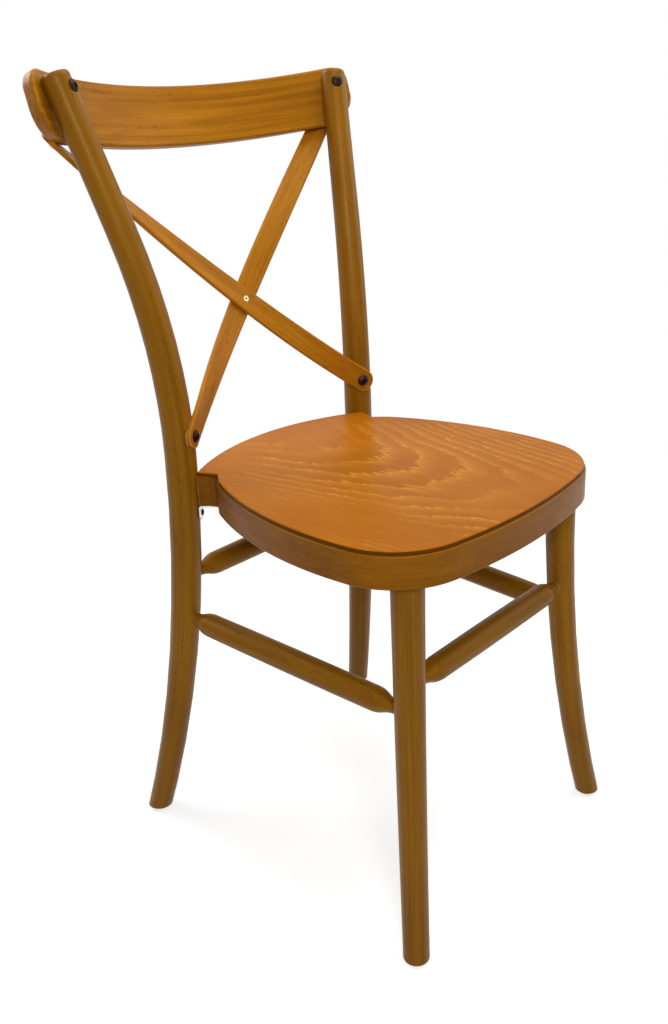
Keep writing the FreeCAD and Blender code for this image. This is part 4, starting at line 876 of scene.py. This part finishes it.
class ChairFastenerSettings(PropertyGroup):
    """Sizes of the screws."""

    bracket_head: screw_size("Bracket screw head", "Diameter of a bracket screw's head", 0.0075)
    bracket_rise: screw_size("Bracket head height", "How far its head stands up", 0.0020)
    bracket_shank: screw_size("Bracket screw shank", "Diameter of its thread", 0.0035)
    slat_head: screw_size("Slat screw head", "Diameter of a slat screw's head", 0.0080)
    slat_rise: screw_size("Slat head height", "How far its head stands up", 0.0024)
    slat_shank: screw_size("Slat screw shank", "Diameter of its thread", 0.0040)
    pitch: screw_size("Thread pitch", "Distance between two turns of the thread", 0.0015)


class ChairStageSettings(PropertyGroup):
    """Camera, lamps and floor."""

    camera_place: FloatVectorProperty(
        name="Camera place", description="Where the camera stands",
        subtype="TRANSLATION", size=3, default=(-0.8105, -0.7742, 0.8571),
    )
    camera_turn: turn_angle("Camera heading", "Turn from straight back to the left", 48.9)
    camera_dip: turn_angle("Camera dip", "How far the camera looks down", 20.2)
    camera_roll: turn_angle("Camera roll", "Roll about the line of sight", -1.49)
    lens: FloatProperty(
        name="Focal length", description="Focal length in millimetres on a 36 mm sensor",
        default=35.71, min=10.0, max=200.0,
    )
    key_power: lamp_power("Key lamp", "Power of the lamp above and beside the camera", 28.0)
    top_power: lamp_power("Top lamp", "Power of the lamp above the seat", 22.0)
    fill_power: lamp_power("Fill lamp", "Power of the lamp on the far side", 7.0)
    back_power: lamp_power("Back lamp", "Power of the lamp behind the chair", 20.0)
    ambient: FloatProperty(
        name="Ambient light", description="Strength of the even light of the room",
        default=0.22, min=0.0, max=2.0,
    )
    floor_radius: FloatProperty(
        name="Floor radius", description="Radius of the pale floor",
        default=4.0, min=1.0, unit="LENGTH",
    )
    floor_sides: IntProperty(
        name="Floor sides", description="Corners of the floor disc", default=96, min=16,
    )


# Operators, one for each group of like pieces

class CHAIR_OT_bent_rods(Operator):
    """Finish the rear posts, front legs and stretchers"""

    bl_idname = "chair.bent_rods"
    bl_label = "Bent Rods"

    def execute(self, context):
        tone = context.scene.chair_wood.post_colour
        grain = {
            "Pith": (0.05, 0.03, 0.0), "Ring_Spacing": 0.0042, "Ring_Strength": 0.13,
            "Streak_Strength": 0.62, "Cloud_Strength": 0.45, "Fleck_Amount": 0.95,
        }
        post = stained_wood(
            "stained_posts", partial(rod_vector, kind="post"), tone, grain, ROD_EDGE, ROD_SHINE
        )
        dress(["rear_post_right", "rear_post_left"], post)
        grain["Seed"] = 3.1
        leg = stained_wood(
            "stained_legs", partial(rod_vector, kind="leg"), tone, grain, ROD_EDGE, ROD_SHINE
        )
        dress(["front_leg_right", "front_leg_left"], leg)
        headings = {
            "side_stretcher_right": (0, 1, 0),
            "side_stretcher_left": (0, 1, 0),
            "front_stretcher": (1, 0, 0),
            "rear_stretcher": (1, 0, 0),
        }
        for number, (node, heading) in enumerate(headings.items()):
            values = dict(grain, Seed=5.0 + number, Pith=(0.2, 0.1 * number, 0.02))
            place = partial(turned_vector, start=(0, 0, 0), end=heading)
            material = stained_wood("stained_" + node, place, tone, values, STRETCHER_EDGE)
            dress([node], material)
        place = partial(turned_vector, start=(0, 0, 0), end=(0.65, -0.76, 0))
        dowel = stained_wood("stained_dowels", place, tone, dict(grain, Seed=9.5))
        dress(["seat_dowels"], dowel)
        return {"FINISHED"}


class CHAIR_OT_crest_rail(Operator):
    """Finish the curved crest rail"""

    bl_idname = "chair.crest_rail"
    bl_label = "Crest Rail"

    def execute(self, context):
        grain = {
            "Pith": (0.09, 0.05, 0.0), "Ring_Spacing": 0.0065, "Ring_Strength": 0.16,
            "Streak_Strength": 0.85, "Cloud_Strength": 0.45, "Fleck_Amount": 0.75, "Seed": 1.3,
        }
        tone = context.scene.chair_wood.rail_colour
        rail = stained_wood("stained_rail", rail_vector, tone, grain, BOARD_EDGE)
        dress(["crest_rail"], rail)
        return {"FINISHED"}


class CHAIR_OT_slats(Operator):
    """Finish the two crossed slats"""

    bl_idname = "chair.slats"
    bl_label = "Crossed Slats"

    def execute(self, context):
        tone = context.scene.chair_wood.slat_colour
        grain = {
            "Ring_Spacing": 0.005, "Ring_Strength": 0.12,
            "Streak_Strength": 0.6, "Cloud_Strength": 0.35, "Fleck_Amount": 0.9,
        }
        mirror = Vector((-1, 1, 1))
        ends = {
            "cross_slat_rear": (SLAT_FOOT, SLAT_HEAD),
            "cross_slat_front": (mirror * Vector(SLAT_FOOT), mirror * Vector(SLAT_HEAD)),
        }
        for number, (node, (start, end)) in enumerate(ends.items()):
            values = dict(grain, Seed=2.0 + 2.7 * number, Pith=(0.3, 0.2, 0.0))
            place = partial(turned_vector, start=start, end=end)
            dress([node], stained_wood("stained_" + node, place, tone, values, SLAT_EDGE))
        return {"FINISHED"}


class CHAIR_OT_seat(Operator):
    """Finish the bent seat frame and its veneered panel"""

    bl_idname = "chair.seat"
    bl_label = "Seat"

    def execute(self, context):
        grain = {
            "Pith": (0.08, 0.3, 0.0), "Ring_Spacing": 0.006, "Ring_Strength": 0.10,
            "Streak_Strength": 0.45, "Cloud_Strength": 0.7, "Fleck_Amount": 0.7, "Seed": 4.4,
        }
        tone = context.scene.chair_wood.frame_colour
        ring = stained_wood("stained_seat_frame", ring_vector, tone, grain, BOARD_EDGE)
        dress(["seat_frame"], ring)
        dress(["seat_panel"], seat_veneer("seat_veneer"))
        return {"FINISHED"}


class CHAIR_OT_fittings(Operator):
    """Finish the bolts, inserts, rivet, brackets and glides"""

    bl_idname = "chair.fittings"
    bl_label = "Fittings"

    def execute(self, context):
        black = small_metal(
            "blackened_bolts", (0.022, 0.012, 0.008), (0.055, 0.029, 0.016), roughness=0.30
        )
        dress(["crest_bolts", "slat_bolts"], black)
        brass = small_metal(
            "pale_brass", (0.80, 0.62, 0.33), (0.45, 0.30, 0.12), roughness=0.26
        )
        dress(["slat_rivet", "crest_inserts", "slat_inserts"], brass)
        zinc = small_metal(
            "zinc_plate", (0.74, 0.74, 0.72), (0.48, 0.47, 0.44), roughness=0.24
        )
        dress(["seat_bracket_right", "seat_bracket_left", "glide_nails"], zinc)
        plastic = small_metal(
            "glide_plastic", (0.085, 0.058, 0.040), (0.14, 0.10, 0.075),
            roughness=0.52, metallic=0.0, grain=0.0009,
        )
        dress(["foot_glides"], plastic)
        return {"FINISHED"}


class CHAIR_OT_screws(Operator):
    """Make the cross recessed screws of the brackets and the slat heads"""

    bl_idname = "chair.screws"
    bl_label = "Screws"

    def execute(self, context):
        sizes = context.scene.chair_fasteners
        tree = screw_tree()
        black = small_metal(
            "black_screws", (0.024, 0.017, 0.013), (0.060, 0.040, 0.026), roughness=0.34
        )
        zinc = small_metal(
            "zinc_screws", (0.72, 0.70, 0.64), (0.46, 0.42, 0.34), roughness=0.28
        )
        bracket = set_on_seats("bracket_screw_set", "bracket_screws", tree, {
            "Head Diameter": sizes.bracket_head, "Head Height": sizes.bracket_rise,
            "Shank Diameter": sizes.bracket_shank, "Thread Pitch": sizes.pitch, "Finish": black,
        })
        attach(bracket, "root")
        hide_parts("bracket_screws")
        slat = set_on_seats("slat_screw_set", "slat_screws", tree, {
            "Head Diameter": sizes.slat_head, "Head Height": sizes.slat_rise,
            "Shank Diameter": sizes.slat_shank, "Thread Pitch": sizes.pitch, "Finish": zinc,
        })
        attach(slat, "root")
        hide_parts("slat_screws")
        return {"FINISHED"}


def seen_by_eye(board):
    """One for camera, glossy and transmitted rays, else nought."""
    path = board.add("ShaderNodeLightPath").outputs
    eye = board.math("MAXIMUM", path["Is Camera Ray"], path["Is Glossy Ray"])
    return board.math("MAXIMUM", eye, path["Is Transmission Ray"])


def area_lamp(name, place, target, size, power):
    light = bpy.data.lights.new(name, "AREA")
    light.shape = "DISK"
    light.size = size
    light.energy = power
    lamp = bpy.data.objects.new(name, light)
    lamp.location = place
    lamp.rotation_euler = (Vector(target) - Vector(place)).to_track_quat("-Z", "Y").to_euler()
    bpy.context.scene.collection.objects.link(lamp)


def make_floor(settings):
    """Pale disc that fades into the white room away from the chair."""
    mesh = bmesh.new()
    bmesh.ops.create_circle(
        mesh, cap_ends=True, segments=settings.floor_sides, radius=settings.floor_radius
    )
    data = bpy.data.meshes.new("studio_floor")
    mesh.to_mesh(data)
    mesh.free()
    floor = bpy.data.objects.new("studio_floor", data)
    floor.location = (0.0, 0.0, -FLOOR_DROP)
    bpy.context.scene.collection.objects.link(floor)
    material = bpy.data.materials.new("pale_floor")
    material.use_nodes = True
    board = Board(material.node_tree)
    board.nodes.remove(board.nodes["Principled BSDF"])
    spot = board.add("ShaderNodeTexCoord").outputs["Object"]
    tone = board.mix_colour(board.noise(spot, FLOOR_SPECKLE, 3.0), *FLOOR_TONES)
    matt = board.add("ShaderNodeBsdfDiffuse", {"Color": tone}).outputs[0]
    white = board.add("ShaderNodeEmission", {"Color": WHITE, "Strength": 1.0}).outputs[0]
    eye = seen_by_eye(board)
    strength = board.math("MULTIPLY", eye, FLOOR_LIFT)
    lift = board.add("ShaderNodeEmission", {"Color": WHITE, "Strength": strength}).outputs[0]
    lit = board.add("ShaderNodeAddShader", {0: matt, 1: lift}).outputs[0]
    away = board.smooth(board.vector("LENGTH", spot), FADE_START, FADE_END)
    share = board.math("MULTIPLY", away, eye)
    both = board.add("ShaderNodeMixShader", {0: share, 1: lit, 2: white}).outputs[0]
    board.feed(board.nodes["Material Output"].inputs["Surface"], both)
    data.materials.append(material)


def make_room(settings):
    """White to the eye, even and dim as a light."""
    world = bpy.data.worlds.new("studio_room")
    bpy.context.scene.world = world
    world.use_nodes = True
    board = Board(world.node_tree)
    background = board.nodes["Background"]
    background.inputs["Color"].default_value = WHITE
    ambient = settings.ambient
    strength = board.math("MULTIPLY_ADD", seen_by_eye(board), 1.0 - ambient, ambient)
    board.feed(background.inputs["Strength"], strength)


def make_camera(settings):
    yaw, dip, roll = settings.camera_turn, settings.camera_dip, settings.camera_roll
    level = math.cos(dip)
    ahead = Vector((math.sin(yaw) * level, math.cos(yaw) * level, -math.sin(dip)))
    right = Vector((math.cos(yaw), -math.sin(yaw), 0.0))
    up = right.cross(ahead)
    rolled_right = right * math.cos(roll) + up * math.sin(roll)
    rolled_up = up * math.cos(roll) - right * math.sin(roll)
    lens = bpy.data.cameras.new("photo_camera")
    lens.lens = settings.lens
    lens.sensor_width = SENSOR_WIDTH
    lens.shift_x, lens.shift_y = CAMERA_SHIFT
    lens.clip_start, lens.clip_end = CLIP_START, CLIP_END
    camera = bpy.data.objects.new("photo_camera", lens)
    turn = Matrix((rolled_right, rolled_up, -ahead)).transposed().to_4x4()
    camera.matrix_world = Matrix.Translation(settings.camera_place) @ turn
    bpy.context.scene.collection.objects.link(camera)
    bpy.context.scene.camera = camera


class CHAIR_OT_stage(Operator):
    """Set up the floor, room light, lamps and camera"""

    bl_idname = "chair.stage"
    bl_label = "Stage"

    def execute(self, context):
        settings = context.scene.chair_stage
        make_floor(settings)
        make_room(settings)
        for name, (place, width) in LAMPS.items():
            power = getattr(settings, name + "_power")
            area_lamp(name + "_lamp", place, LAMP_TARGET, width, power)
        make_camera(settings)
        context.scene.view_settings.view_transform = "Standard"
        return {"FINISHED"}


class CHAIR_PT_panel(Panel):
    """Buttons and settings of the chair"""

    bl_label = "Cross Back Chair"
    bl_idname = "CHAIR_PT_panel"
    bl_space_type = "VIEW_3D"
    bl_region_type = "UI"
    bl_category = "Chair"

    def draw(self, context):
        layout = self.layout
        for operator in STEPS:
            layout.operator(operator.bl_idname)
        for group in SETTINGS:
            settings = getattr(context.scene, group)
            box = layout.box()
            for name in settings.__annotations__:
                box.prop(settings, name)


STEPS = (
    CHAIR_OT_stage,
    CHAIR_OT_bent_rods,
    CHAIR_OT_crest_rail,
    CHAIR_OT_slats,
    CHAIR_OT_seat,
    CHAIR_OT_fittings,
    CHAIR_OT_screws,
)
SETTINGS = {
    "chair_wood": ChairWoodSettings,
    "chair_fasteners": ChairFastenerSettings,
    "chair_stage": ChairStageSettings,
}


def register():
    for name, group in SETTINGS.items():
        bpy.utils.register_class(group)
        setattr(bpy.types.Scene, name, PointerProperty(type=group))
    for operator in STEPS:
        bpy.utils.register_class(operator)
    bpy.utils.register_class(CHAIR_PT_panel)


def unregister():
    bpy.utils.unregister_class(CHAIR_PT_panel)
    for operator in reversed(STEPS):
        bpy.utils.unregister_class(operator)
    for name, group in SETTINGS.items():
        delattr(bpy.types.Scene, name)
        bpy.utils.unregister_class(group)


def main():
    register()
    build_groups()
    for operator in STEPS:
        category, name = operator.bl_idname.split(".")
        getattr(getattr(bpy.ops, category), name)()


if __name__ == "__main__":
    main()
